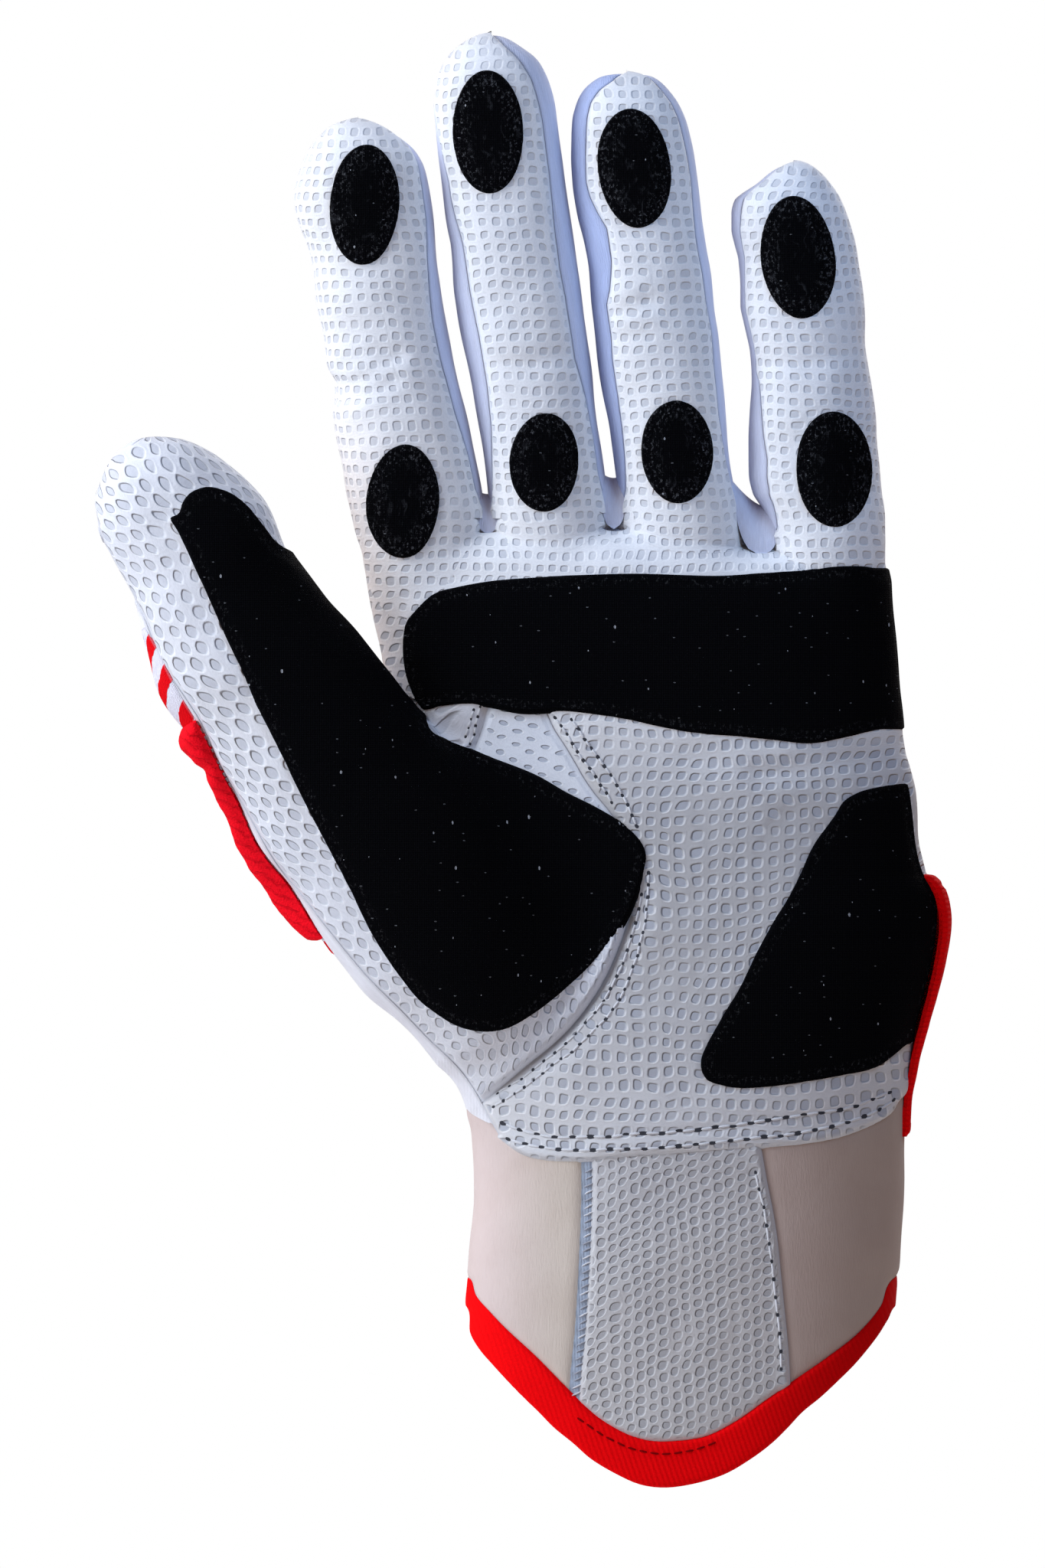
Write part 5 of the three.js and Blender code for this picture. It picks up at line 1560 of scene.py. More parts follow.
# rows of stitching: line, pitch in drawing units, hole size in mm
ROWS = {
    "thenar_a": ([(725, 938), (733, 949), (741, 960), (749, 974), (757, 987), (765, 998), (776, 1011), (782, 1023), (791, 1034), (799, 1048)], 13.2, 0.36),
    "thenar_b": ([(747, 941), (756, 955), (766, 969), (775, 982), (785, 995), (794, 1008), (803, 1023), (811, 1035), (818, 1049), (824, 1063), (831, 1078)], 14.8, 0.38),
    "thenar_c": ([(838, 1150), (836, 1176), (832, 1194), (826, 1215), (820, 1234), (815, 1253), (807, 1269), (798, 1288), (788, 1306), (776, 1321), (763, 1335),
                  (752, 1348), (725, 1373), (697, 1395), (672, 1413), (650, 1426)], 18.5, 0.33),
    "thenar_d": ([(846, 1140), (845, 1173), (843, 1195), (839, 1217), (835, 1232), (832, 1248), (826, 1262), (821, 1277), (815, 1291), (809, 1304), (802, 1313),
                  (794, 1326), (784, 1335), (771, 1348), (758, 1361), (744, 1374), (729, 1384), (712, 1397), (688, 1416), (664, 1432), (645, 1443)], 15.2, 0.35),
    "crotch_a": ([(627, 924), (625, 936), (622, 947), (620, 959), (615, 972)], 11.5, 0.28),
    "crotch_b": ([(619, 928), (616, 940), (612, 952), (609, 962), (605, 974)], 11.0, 0.26),
    "hem_a": ([(657, 1466), (680, 1474), (702, 1480), (726, 1483), (751, 1483), (774, 1481), (799, 1483), (821, 1479), (842, 1477), (865, 1477), (885, 1475), (940, 1469),
               (980, 1463), (1060, 1452), (1100, 1446), (1128, 1438), (1160, 1425)], 23.5, 0.44),
    "hem_b": ([(664, 1486), (681, 1491), (706, 1496), (737, 1499), (758, 1500), (782, 1499), (804, 1498), (845, 1497), (886, 1494), (960, 1486), (1040, 1477),
               (1120, 1459), (1147, 1447), (1166, 1436)], 22.0, 0.42),
    "cuff_right": ([(984, 1528), (990, 1551), (996, 1574), (1000, 1598), (1003, 1622), (1006, 1645), (1009, 1669), (1011, 1691), (1014, 1714), (1017, 1738),
                    (1018, 1761), (1018, 1784)], 23.4, 0.34),
}
ROW_LINES = {k: spline(v[0], step=5) for k, v in ROWS.items()}


def groove(A, names, depth, width):
    """A sewn channel along some rows of stitching."""
    out = np.zeros(len(A))
    for k in names:
        line = ROW_LINES[k]
        m = (A[:, 8] < 0) & (A[:, 6] > line[:, 0].min() - 25) & (A[:, 6] < line[:, 0].max() + 25) & (A[:, 7] > line[:, 1].min() - 25) & (A[:, 7] < line[:, 1].max() + 25)
        if m.any():
            out[m] -= depth * np.exp(-(line_distance(A[m, 6], A[m, 7], line) / width) ** 2)
    return out


def leather_height(name, A, F, d):
    h = roll(d, 0.35, 0.55, 0.8)
    w = noise3(A[:, 0] / 11, A[:, 1] / 11, A[:, 2] / 9, 5) * 0.3 + noise3(A[:, 0] / 4.5, A[:, 1] / 4.5, A[:, 2] / 4, 15) * 0.1
    h = h + w * smoothstep(0, 3, d)
    for who, line, depth, width in CREASES:
        if who == name:
            m = A[:, 8] < 0
            h[m] -= depth * np.exp(-(line_distance(A[m, 6], A[m, 7], line) / width) ** 2) * smoothstep(0, 2, d[m])
            h[m] += 0.3 * depth * np.exp(-((line_distance(A[m, 6], A[m, 7], line) - 2.1 * width) / width) ** 2) * smoothstep(0, 2, d[m])
    if name in ("palm", "thumb"):
        h = h + groove(A, ("thenar_a", "thenar_b", "thenar_c", "thenar_d", "crotch_a", "crotch_b", "hem_a", "hem_b"), 0.2, 0.5)
        # the palm's hem is folded double and laps the cuff
        h = h + 0.45 * smoothstep(4.2, 1.8, F["hem"]) * smoothstep(0.0, 0.5, F["hem"]) * (A[:, 8] < 2)
    return h


def thumb_height(name, A, F, d):
    """The thumb's leather lies over the palm's along the lower part of their seam, with a thick turned edge."""
    h = leather_height(name, A, F, d)
    low = smoothstep(1120, 1200, A[:, 7]) * (1 - smoothstep(1380, 1440, A[:, 7])) * (A[:, I["al"]] < 0) * (A[:, 8] < 2)
    s = -thenar_side(A)
    return h + low * (0.75 * smoothstep(5.5, 0.6, s) * smoothstep(-0.1, 0.45, s))


def palm_height(name, A, F, d):
    h = leather_height(name, A, F, d)
    if name in ("palm", "thumb"):
        low = smoothstep(1120, 1200, A[:, 7]) * (1 - smoothstep(1400, 1440, A[:, 7]))
        s = thenar_side(A)
        h = h + low * 0.0 - low * 0.35 * smoothstep(4.5, 1.5, s)
    return h


def fabric_height(name, A, F, d):
    return roll(d, -0.25, 0.35, 0.8) + noise3(A[:, 0] / 4, A[:, 1] / 4, A[:, 2] / 7, 9) * 0.12 * smoothstep(0, 1.5, d)


def thenar_side(A):
    """Positive on the palm's side of the thumb seam."""
    return side_distance(A[:, 6], A[:, 7], E_THENAR)


def crotch_side(A):
    return side_distance(A[:, 6], A[:, 7], E_CROTCH)


def palm_pick(name, A, F):
    if name in FINGER:
        return np.minimum(F["front"], HOLD - F["cover"])
    d = np.minimum(F["front"], F["hem"])
    s = thenar_side(A)
    s = np.where(A[:, 7] < 915, 99.0, s)
    d = np.minimum(np.minimum(d, s), HOLD - F["cover"])
    if name == "thumb":
        d = np.where(A[:, 7] < 915, -5, d)
    return d


def thumb_pick(name, A, F):
    if name in FINGER:
        return None
    d = np.minimum(F["front"], F["hem"])
    c, r = A[:, 6], A[:, 7]
    s = -thenar_side(A)
    t = -crotch_side(A)
    if name == "palm":
        s = np.where(r < 915, -99.0, s)
        t = np.where(r < 860, -99.0, t)
    else:
        s = np.where(A[:, I["al"]] > 0, 99.0, np.where(r < 915, 99, s))
        t = np.where(A[:, I["al"]] > 0, 99.0, t)
    t = np.where(r > 1060, 99.0, t)
    return np.minimum(np.minimum(np.minimum(d, s), t), HOLD - F["cover"])


def insert_pick(name, A, F):
    if name in FINGER:
        return None
    c, r = A[:, 6], A[:, 7]
    d = np.minimum(F["front"], np.minimum(crotch_side(A), -thenar_side(A)))
    d = np.minimum(d, (1075 - r) * K)
    d = np.minimum(d, (r - 880) * K)
    return np.minimum(d, HOLD - F["cover"])


def side_pick(sign):
    def pick(name, A, F):
        if name not in FINGER:
            return None
        other = np.minimum(F["side"], -0.3) if name in ("index", "little") else -9
        return np.where(A[:, 10] == sign, F["side"], other)
    return pick


def web_pick(name, A, F):
    return F["side"] if name == "palm" else None


def slit_distance(A):
    """Distance in mm from the edge of the slit in the back of the cuff, positive outside it."""
    low = np.abs(A[:, 0] - X(SLIT_C)) - SLIT_HALF
    tip = np.hypot(A[:, 0] - X(SLIT_C), A[:, 2] - Z(SLIT_R)) - SLIT_HALF
    return np.where(A[:, 8] > 0, np.where(A[:, 7] > SLIT_R, low, tip), 99.0)


def back_pick(name, A, F):
    d = F["back"]
    if name in FINGER:
        return d
    d = np.minimum(d, (1668 - A[:, 7]) * K)
    return np.minimum(d, slit_distance(A)) if name == "palm" else d


def patch(key, surfaces):
    return lambda name, A, F: F.get(key) if name in surfaces else None


def patch_height(name, A, F, d):
    return roll(d, 0.98, 0.1, 0.45) + noise3(A[:, 0] / 9, A[:, 1] / 9, A[:, 2] / 8, 5) * 0.2 - 0.16 * np.exp(-((d - 1.7) / 0.75) ** 2)


def palm_net(parts):
    for name, (B, _) in parts.items():
        if name not in FINGER:
            B[:, I["u"]], B[:, I["v"]] = cells(B[:, 0], B[:, 2])
    return parts


_lens_a = np.linspace(20, 200, 361)
_lens_v = np.cumsum(0.5 / (2.5 + 0.95 * smoothstep(72, 104, _lens_a)))


def thumb_net(parts):
    for B, _ in parts.values():
        along = B[:, 0] * TX + B[:, 2] * TZ
        s, a, y, b = thumb_ring(along)
        du = (B[:, 0] * SX + B[:, 2] * SZ - s) / a
        dv = (B[:, 1] - y) / b
        arc = np.sign(du) * np.arctan2(np.abs(du), -dv) * np.sqrt(a * b)
        flat = smoothstep(112, 84, along)
        arc = arc * (1 - flat) + (B[:, 0] * SX + B[:, 2] * SZ - s) * flat
        B[:, I["u"]] = (arc * 0.985 + along * 0.17) / 2.35
        B[:, I["v"]] = np.interp(along * 0.985 - arc * 0.17, _lens_a, _lens_v)
    return parts


front_parts = palm_net(panel(palm_pick, palm_height))
place(front_parts, WHITE, "white_leather", "palm_leather", ("palm_leather",), "{k}_front_{part}", "{k}_front_proximal", "{k}_front_distal")
thumb_parts = thumb_net(panel(thumb_pick, thumb_height, ("thumb", "palm")))
place(thumb_parts, LENS, "white_leather", "thumb_base_leather", ("thumb_base_leather",), "{k}_front_{part}", "{k}_front_proximal", "{k}_front_distal")
place(palm_net(panel(insert_pick, fabric_height, ("thumb", "palm"))), FINE, "stretch_fabric", "thumb_crotch_insert", ("thumb_crotch_insert",))
for sign, word in ((-1, "radial"), (1, "ulnar")):
    for k in FINGER:
        if (k, word) in (("index", "radial"), ("little", "ulnar")):
            continue
        low = f"{k}_side_proximal_{word}" if k in ("middle", "ring") else f"{k}_side_proximal"
        up = f"{k}_side_distal" if (k in ("index", "little") or word == "ulnar") else ""
        # the ring finger's radial side gets the copy of the fabric with painted shade
        place(panel(side_pick(sign), fabric_height, (k,)), LYCRA_SHADE if (k, word) == ("ring", "radial") else LYCRA, "stretch_fabric", f"{k}_side_root_{word}", (), "{k}_side_{part}_" + word, low, up)
place(panel(web_pick, fabric_height, ("palm",)), LYCRA, "stretch_fabric", "web_fabric")
back_parts = panel(back_pick, fabric_height)
place(back_parts, BACK_KNIT, "stretch_fabric", "back_panel", ("back_panel",), "{k}_back_{part}", "{k}_back_proximal", "{k}_back_distal")
for k in FINGER:
    place(panel(patch("tip", (k,)), patch_height, (k,)), BLACK_OVAL, "black_grip", None, (), k + "_tip_grip_{part}", "", k + "_tip_grip")
    place(panel(patch("low", (k,)), patch_height, (k,)), BLACK_OVAL, "black_grip", k + "_base_grip_root", (), k + "_base_grip_{part}", k + "_base_grip", "")
place(panel(patch("band", ("palm", *FINGER)), patch_height), BLACK, "black_grip", "palm_band_grip", ("palm_band_grip",), "band_{k}_{part}")
place(panel(patch("heel", ("palm",)), patch_height, ("palm",)), BLACK, "black_grip", "heel_grip", ("heel_grip",))
place(panel(patch("grip", ("palm", "thumb")), patch_height, ("palm", "thumb")), BLACK, "black_grip", "thumb_grip_base", ("thumb_grip_base",),
      "{k}_grip_{part}", "{k}_grip_proximal", "{k}_grip_distal")


# ---- the fabric beside the thumb's leather, with its bars, and the padded guard over it
def thumb_along(A):
    return A[:, 0] * TX + A[:, 2] * TZ


_A = SURF["thumb"][0]
_m = (_A[:, 10] < 0) & (_A[:, 8] < thumb_split(_A)) & (np.abs(FIELD["thumb"]["edge"]) < 0.45) & (_A[:, 9] < 120) & (thumb_along(_A) > 62) & (thumb_along(_A) < 172)
EDGE_FIT = np.polyfit(thumb_along(_A)[_m], _A[_m, I["arc"]], 6)


def edge_across(A):
    """Distance in mm round the thumb, outwards from the edge of its leather."""
    return np.polyval(EDGE_FIT, np.clip(thumb_along(A), 62, 172)) - A[:, I["arc"]]


GUARD_W, GUARD_A, GUARD_B = 12.0, 93.0, 136.4
GUARD = table([(93.0, 1.2), (94.5, 2.4), (98, 3.4), (104, 4.0), (112, 3.3), (120, 2.7), (126, 2.2), (128.4, 1.5), (130.2, 2.1), (133.5, 2.3), (135.4, 1.7), (136.4, 0.8)])


def guard_pick(name, A, F):
    if name != "thumb":
        return None
    a, q = thumb_along(A), edge_across(A)
    d = np.minimum(np.minimum(q + 1.1, GUARD_W - q), np.minimum(a - GUARD_A, GUARD_B - a))
    return np.where(A[:, 10] < 0, d, -9.0)


def guard_height(name, A, F, d):
    a, q = thumb_along(A), edge_across(A)
    H = pchip(*GUARD, np.clip(a, GUARD_A, GUARD_B))
    s = np.clip(np.minimum((q + 1.1) / 3.0, (GUARD_W - q) / 5.5), 0, 1)
    e = np.clip(np.minimum(a - GUARD_A, GUARD_B - a) / 1.6, 0, 1)
    puff = np.sqrt(np.clip(1 - (1 - s) ** 2, 0, 1)) * np.sqrt(np.clip(1 - (1 - e) ** 2, 0, 1))
    lumps = noise3(A[:, 0] / 3.4, A[:, 1] / 3.4, A[:, 2] / 3.4, 31) * 0.3 + noise3(A[:, 0] / 1.1, A[:, 1] / 1.1, A[:, 2] / 1.1, 32) * 0.07
    return 0.15 + (H - 0.15 + lumps) * puff


def stripe_pick(name, A, F):
    if name != "thumb":
        return None
    a, q = thumb_along(A), edge_across(A)
    d = np.minimum(np.minimum(q + 0.6, 8.5 - q), np.minimum(a - 89.3, 154.5 - a))
    return np.where(A[:, 10] < 0, d, -9.0)


def stripe_height(name, A, F, d):
    return roll(d, 0.0, 0.25, 0.5) + noise3(A[:, 0] / 4, A[:, 1] / 4, A[:, 2] / 7, 9) * 0.12 * smoothstep(0, 1.5, d)


stripe_parts = panel(stripe_pick, stripe_height, ("thumb",))
for _B, _t in stripe_parts.values():
    _B[:, I["u"]] = (thumb_along(_B) - 0.5 * _B[:, I["arc"]]) / 6.8
    _B[:, I["v"]] = _B[:, I["arc"]]
place(stripe_parts, STRIPED, "back_stripe", "thumb_stripe_root", (), "thumb_stripe_{part}")
place(panel(guard_pick, guard_height, ("thumb",), skirt=1.6), RED_MESH, "red_fabric", "thumb_guard_lower", ("thumb_guard_lower",),
      "thumb_guard_{part}", "thumb_guard_upper", "", padded=0.75)


# ---- the cuff
def cuff_pick(which):
    def pick(name, A, F):
        if name != "palm":
            return None
        c, r = A[:, 6], A[:, 7]
        m = (A[:, 8] < HAND_SPLIT + 1) & (r > 1380)
        d = np.full(len(A), -9.0)
        low = height_distance(c[m], r[m], E_BTOP) + 0.3
        v = np.minimum(np.minimum(HAND_SPLIT - A[m, 8], 1.6 - F["hem"][m]), low)
        left, right = side_distance(c[m], r[m], E_CLEFT), side_distance(c[m], r[m], E_CRIGHT)
        side = {"radial": -left - 1.45, "tape": np.minimum(-left + 0.3, left + 1.65), "centre": np.minimum(left, -right), "ulnar": right + 0.2}[which]
        d[m] = np.minimum(v, side)
        return d
    return pick


def cuff_height(name, A, F, d):
    return roll(d, 0.1, 0.35, 0.9) + noise3(A[:, 0] / 12, A[:, 1] / 12, A[:, 2] / 9, 21) * 0.25 * smoothstep(0, 4, d)


def cuff_leather_height(name, A, F, d):
    right = -side_distance(A[:, 6], A[:, 7], E_CRIGHT)
    left = side_distance(A[:, 6], A[:, 7], E_CLEFT)
    h = roll(d, 0.3, 0.3, 0.5) + noise3(A[:, 0] / 12, A[:, 1] / 12, A[:, 2] / 9, 21) * 0.25 * smoothstep(0, 4, d)
    scallop = 0.5 + 0.5 * np.cos(A[:, 7] / 19.0 * 2 * math.pi)
    return h + groove(A, ("cuff_right",), 0.3, 0.5) + 0.3 * smoothstep(2.2, 1.2, right) + 0.16 * (scallop - 0.4) * smoothstep(1.5, 0.4, left)


def tape_height(name, A, F, d):
    return roll(d, -0.15, 0.2, 0.4) + 0.1 * np.cos(A[:, 7] / 19.0 * 2 * math.pi)


for which, mat, slot, fn in (("radial", CREAM, "cuff_pale", cuff_height), ("centre", CUFF_LEATHER, "white_leather", cuff_leather_height),
                             ("ulnar", TAUPE, "cuff_shade", cuff_height)):
    cuff_parts = panel(cuff_pick(which), fn, ("palm",))
    if which == "centre":  # a finer net than the palm's
        for _B, _t in cuff_parts.values():
            _B[:, I["u"]] *= 1.28
            _B[:, I["v"]] *= 1.28
    place(cuff_parts, mat, slot, f"cuff_{which}_panel", (f"cuff_{which}_panel",))
place(panel(cuff_pick("tape"), tape_height, ("palm",)), TAPE, "stretch_fabric", "cuff_seam_tape")


def binding_pick(name, A, F):
    c, r = A[:, 6], A[:, 7]
    d = np.full(len(A), -9.0)
    m = r > 1560
    top, low = height_distance(c[m], r[m], E_BTOP), height_distance(c[m], r[m], E_BLOW)
    front = np.minimum(-top, low)
    back = np.minimum(r[m] - 1668, 1704 - r[m]) * K
    d[m] = np.minimum(np.where(A[m, 8] < HAND_SPLIT, front, back), slit_distance(A[m]))
    return d


def binding_height(name, A, F, d):
    ridge = noise3(A[:, 0] / 6, A[:, 1] / 6, A[:, 2] / 6, 41) * 0.12
    thin = 1 - 0.85 * smoothstep(0.45, 0.9, np.abs(A[:, 3]))
    return 0.75 * thin * np.sqrt(np.clip(1 - (1 - np.clip(d / 1.3, 0, 1)) ** 2, 0, 1)) - 0.2 + ridge * smoothstep(0, 1.5, d)


binding_parts = panel(binding_pick, binding_height, ("palm",), skirt=0.95)
for _B, _t in binding_parts.values():  # ribs run across the binding
    _B[:, I["v"]] = _B[:, 0] + 0.35 * _B[:, 2]
place(binding_parts, RED, "red_fabric", "cuff_binding", ("cuff_binding",))


def slit_edge_pick(name, A, F):
    s = slit_distance(A)
    d = np.minimum(np.minimum(s + 0.02, 2.6 - s), (1667 - A[:, 7]) * K)
    return np.where(A[:, 8] > 0, d, -9.0) if name == "palm" else None


def slit_edge_height(name, A, F, d):
    return 0.6 * np.sqrt(np.clip(1 - (1 - np.clip(d / 0.9, 0, 1)) ** 2, 0, 1)) - 0.15


slit_parts = panel(slit_edge_pick, slit_edge_height, ("palm",), skirt=1.4)
for _B, _t in slit_parts.values():
    _B[:, I["v"]] = _B[:, 2]
place(slit_parts, RED, "red_fabric", "slit_binding")


def inside_out(parts):
    """The same surface seen from its other side."""
    out = {}
    for name, (A, T) in parts.items():
        A = A.copy()
        A[:, 3:6] *= -1
        out[name] = (A, T[:, ::-1])
    return out


def lining_pick(name, A, F):
    if name != "palm":
        return None
    c, r = A[:, 6], A[:, 7]
    low = np.full(len(A), 99.0)
    m = r > 1560
    low[m] = np.where(A[m, 8] < HAND_SPLIT, height_distance(c[m], r[m], E_BLOW), (1704 - r[m]) * K) - 0.4
    return np.minimum(np.minimum((r - 1250) * K, low), slit_distance(A) + 0.3)


lining_height = lambda name, A, F, d: np.full(len(A), -1.25)
place(inside_out(panel(lining_pick, lining_height, ("palm",), skirt=0)), LINING, "stretch_fabric", "cuff_lining")


# ---- the strap that closes the cuff, its hook tape and the loop tape it meets
ULNAR = table([(1130, 0.3), (1142, 0.7), (1150, 1.5), (1165, 2.2), (1180, 2.55), (1200, 2.75), (1230, 2.8), (1260, 2.75), (1300, 2.8), (1335, 2.8), (1358, 2.4), (1381, 1.8),
               (1406, 1.4), (1429, 1.0), (1470, 0.7), (1490, 0.5)])


def strap_pick(name, A, F):
    return np.minimum(poly_distance(A[:, 6], A[:, 7], O_STRAP), A[:, 8] + 5.2) if name == "palm" else None


def strap_rise(A, back):
    side = smoothstep(1130, 1196, A[:, 6])
    return back * (1 - side) + np.minimum(pchip(*ULNAR, np.clip(A[:, 7], 1130, 1490)), back) * side


def strap_height(name, A, F, d):
    h = strap_rise(A, 3.25) - 0.55 * np.exp(-(np.clip(d, 0, None) / 0.55) ** 2)
    h = h - 0.22 * np.exp(-((d - 3.0) / 0.4) ** 2) + 0.1 * smoothstep(3.0, 2.2, d)
    return h + noise3(A[:, 0] / 9, A[:, 1] / 9, A[:, 2] / 9, 51) * 0.1 * smoothstep(0, 2, d)


def strap_under(name, A, F, d):
    return np.maximum(strap_rise(A, 3.25) - 1.15, 0.3)


def both(a, b):
    out = dict(a)
    for name, part in b.items():
        out[name] = join([out[name], part]) if name in out else part
    return out


strap_out = panel(strap_pick, strap_height, ("palm",), skirt=0.75)
strap_in = inside_out(panel(strap_pick, strap_under, ("palm",), skirt=0))
for _B, _t in list(strap_out.values()) + list(strap_in.values()):
    _B[:, I["v"]] = _B[:, 2]
A_, T_ = both(strap_out, strap_in)["palm"]
STRAP_START, STRAP_END = Vector((0.044652, -0.0052, 0.05808)), Vector((0.044652, 0.0028, 0.05808))
make_object("skin_closure_strap", A_, T_, STRAP_RED, None, "red_fabric", ("closure_strap",), ("hand", "strap", STRAP_START, STRAP_END))


def tape_pick(outline):
    return lambda name, A, F: np.minimum(poly_distance(A[:, 6], A[:, 7], outline), A[:, 8] - 5) if name == "palm" else None


O_HOOK = spline([(712, 1264), (766, 1252), (826, 1246), (830, 1262), (830, 1412), (826, 1427), (766, 1420), (712, 1410), (705, 1400), (705, 1274)], True, 3)
O_LOOP = spline([(704, 1252), (790, 1238), (878, 1230), (885, 1242), (885, 1436), (878, 1446), (790, 1438), (704, 1428), (698, 1418), (698, 1264)], True, 3)
hook_out = panel(tape_pick(O_HOOK), lambda n, A, F, d: np.full(len(A), 2.1), ("palm",), skirt=0.75)
hook_in = inside_out(panel(tape_pick(O_HOOK), lambda n, A, F, d: np.full(len(A), 1.3), ("palm",), skirt=0))
A_, T_ = both(hook_out, hook_in)["palm"]
make_object("skin_strap_hook_patch", A_, T_, HOOKS, "strap", "hook_tape", ("strap_hook_patch",))
A_, T_ = panel(tape_pick(O_LOOP), lambda n, A, F, d: roll(d, 0.85, 0.0, 0.3), ("palm",))["palm"]
make_object("skin_strap_loop_patch", A_, T_, LOOPS, "hand", "loop_pile", ("strap_loop_patch",))


# ---- the fabric between the fingers: an arched web from the leather's edge over to the back
def web_sheet(c0, c1, top0, top1, low, deep, lean=0.0):
    nu, nt = 25, 37
    u, t = np.meshgrid(np.linspace(0, 1, nu), np.linspace(-math.pi / 2, math.pi / 2, nt), indexing="ij")
    rise = (Z(top0) * (1 - u) + Z(top1) * u + 1.3 * (2 * u - 1) ** 2 - Z(low))
    h = np.clip(np.cos(t), 0, 1)  # a pocket that narrows to a rounded end on the palm side, full width behind
    narrow = np.where(t < 0, (0.82 + 0.18 * h) * np.sqrt(1 - (1 - h) ** 4), 1.0)
    P = np.stack([X((c0 + c1) / 2 + (c1 - c0) * (u - 0.5) * narrow + lean * (1 - np.cos(t))), 0.3 + deep * np.sin(t), Z(low) + rise * np.cos(t)], -1)
    P[..., 1] -= 0.5 * np.sin(3 * math.pi * u) * np.cos(t) ** 2
    P = P.reshape(-1, 3)
    i, k = np.meshgrid(np.arange(nu - 1), np.arange(nt - 1), indexing="ij")
    a = (i * nt + k).ravel()
    T = np.concatenate([np.stack([a, a + nt, a + nt + 1], 1), np.stack([a, a + nt + 1, a + 1], 1)])
    n = point_normals(P, T)
    if (n * (P - P.mean(0))).sum() < 0:
        T, n = T[:, ::-1], -n
    A = np.zeros((len(P), len(COLS)))
    A[:, 0:3], A[:, 3:6] = P, n
    A[:, I["u"]], A[:, I["v"]], A[:, I["d"]] = P[:, 0], P[:, 2], 9
    return A, T


for _key, _args in (("index", (619, 656, 646, 644, 699, 5.4)), ("middle", (782, 821, 624, 624, 692, 5.4)), ("ring", (954, 1016, 634, 676, 726, 5.9, 7.0))):
    make_object(f"skin_{_key}_web", *web_sheet(*_args), LYCRA, "hand", "stretch_fabric")


# ---- stitching
def tree_of(names):
    verts, polys, n = [], [], 0
    for ob in PIECES:
        if ob.name in names:
            me = ob.data
            co = np.empty(len(me.vertices) * 3, np.float32)
            me.vertices.foreach_get("co", co)
            idx = np.empty(len(me.loops), np.int32)
            me.loops.foreach_get("vertex_index", idx)
            verts.append(co.reshape(-1, 3) * 1000)
            polys.append(idx.reshape(-1, 3) + n)
            n += len(me.vertices)
    return BVHTree.FromPolygons(np.vstack(verts).tolist(), np.vstack(polys).tolist())


def drop(tree, c, r, back=False):
    """The place on the visible surface behind a place in the drawing, and its normal."""
    y, way = (80, -1) if back else (-80, 1)
    hit, n, _, _ = tree.ray_cast(Vector((float(X(c)), y, float(Z(r)))), Vector((0, way, 0)))
    if hit is None:
        return None
    if n.y * way > 0:
        n = -n
    return np.array(hit), np.array(n)


def rows_at(line, pitch):
    p = np.array(line, float)
    s = np.r_[0, np.cumsum(np.hypot(*np.diff(p, axis=0).T))]
    n = max(2, int(round(s[-1] / pitch)) + 1)
    t = np.linspace(0, s[-1], n)
    return np.stack([np.interp(t, s, p[:, 0]), np.interp(t, s, p[:, 1])], 1)


def tube(points, radii, n=7):
    """A closed round thread through points, in mm."""
    P = np.array(points, float)
    t = np.gradient(P, axis=0)
    t /= np.linalg.norm(t, axis=1, keepdims=True)
    up = np.array([0, -1.0, 0])
    side = np.cross(t, up)
    side /= np.maximum(np.linalg.norm(side, axis=1, keepdims=True), 1e-6)
    up = np.cross(side, t)
    a = np.linspace(0, 2 * math.pi, n, endpoint=False)
    ring = np.cos(a)[None, :, None] * side[:, None] + np.sin(a)[None, :, None] * up[:, None]
    V = P[:, None] + ring * np.array(radii)[:, None, None]
    A = np.zeros((len(P) * n + 2, len(COLS)))
    A[:-2, 0:3], A[:-2, 3:6] = V.reshape(-1, 3), ring.reshape(-1, 3)
    A[-2, 0:3], A[-2, 3:6] = P[0], -t[0]
    A[-1, 0:3], A[-1, 3:6] = P[-1], t[-1]
    A[:, I["u"]] = np.r_[np.repeat(np.arange(len(P)), n), 0, len(P) - 1]
    A[:, I["d"]] = 9
    T = grid_triangles(len(P), n)
    k = np.arange(n)
    T = np.vstack([T, np.stack([k * 0 + len(A) - 2, (k + 1) % n, k], 1), np.stack([k * 0 + len(A) - 1, (len(P) - 1) * n + k, (len(P) - 1) * n + (k + 1) % n], 1)])
    return A, T


def disc(centre, normal, along_dir, a, b, n=10):
    """A small hole: a shallow dish lying on the surface, its dark colour painted shade for the hole's inside."""
    normal = normal / np.linalg.norm(normal)
    u = along_dir - normal * (along_dir @ normal)
    u /= np.linalg.norm(u)
    v = np.cross(normal, u)
    t = np.linspace(0, 2 * math.pi, n, endpoint=False)
    A = np.zeros((2 * n + 1, len(COLS)))
    for i, (k, lift) in enumerate(((1.0, 0.01), (0.6, 0.035))):
        A[i * n : (i + 1) * n, 0:3] = centre + normal * lift + np.cos(t)[:, None] * u * a * k + np.sin(t)[:, None] * v * b * k
        A[i * n : (i + 1) * n, I["d"]] = i * 0.5
    A[-1, 0:3] = centre + normal * 0.04
    A[-1, I["d"]] = 1
    A[:, 3:6] = normal
    k = np.arange(n)
    T = np.vstack([np.stack([k, (k + 1) % n, n + (k + 1) % n], 1), np.stack([k, n + (k + 1) % n, n + k], 1), np.stack([n + k, n + (k + 1) % n, k * 0 + 2 * n], 1)])
    return A, T


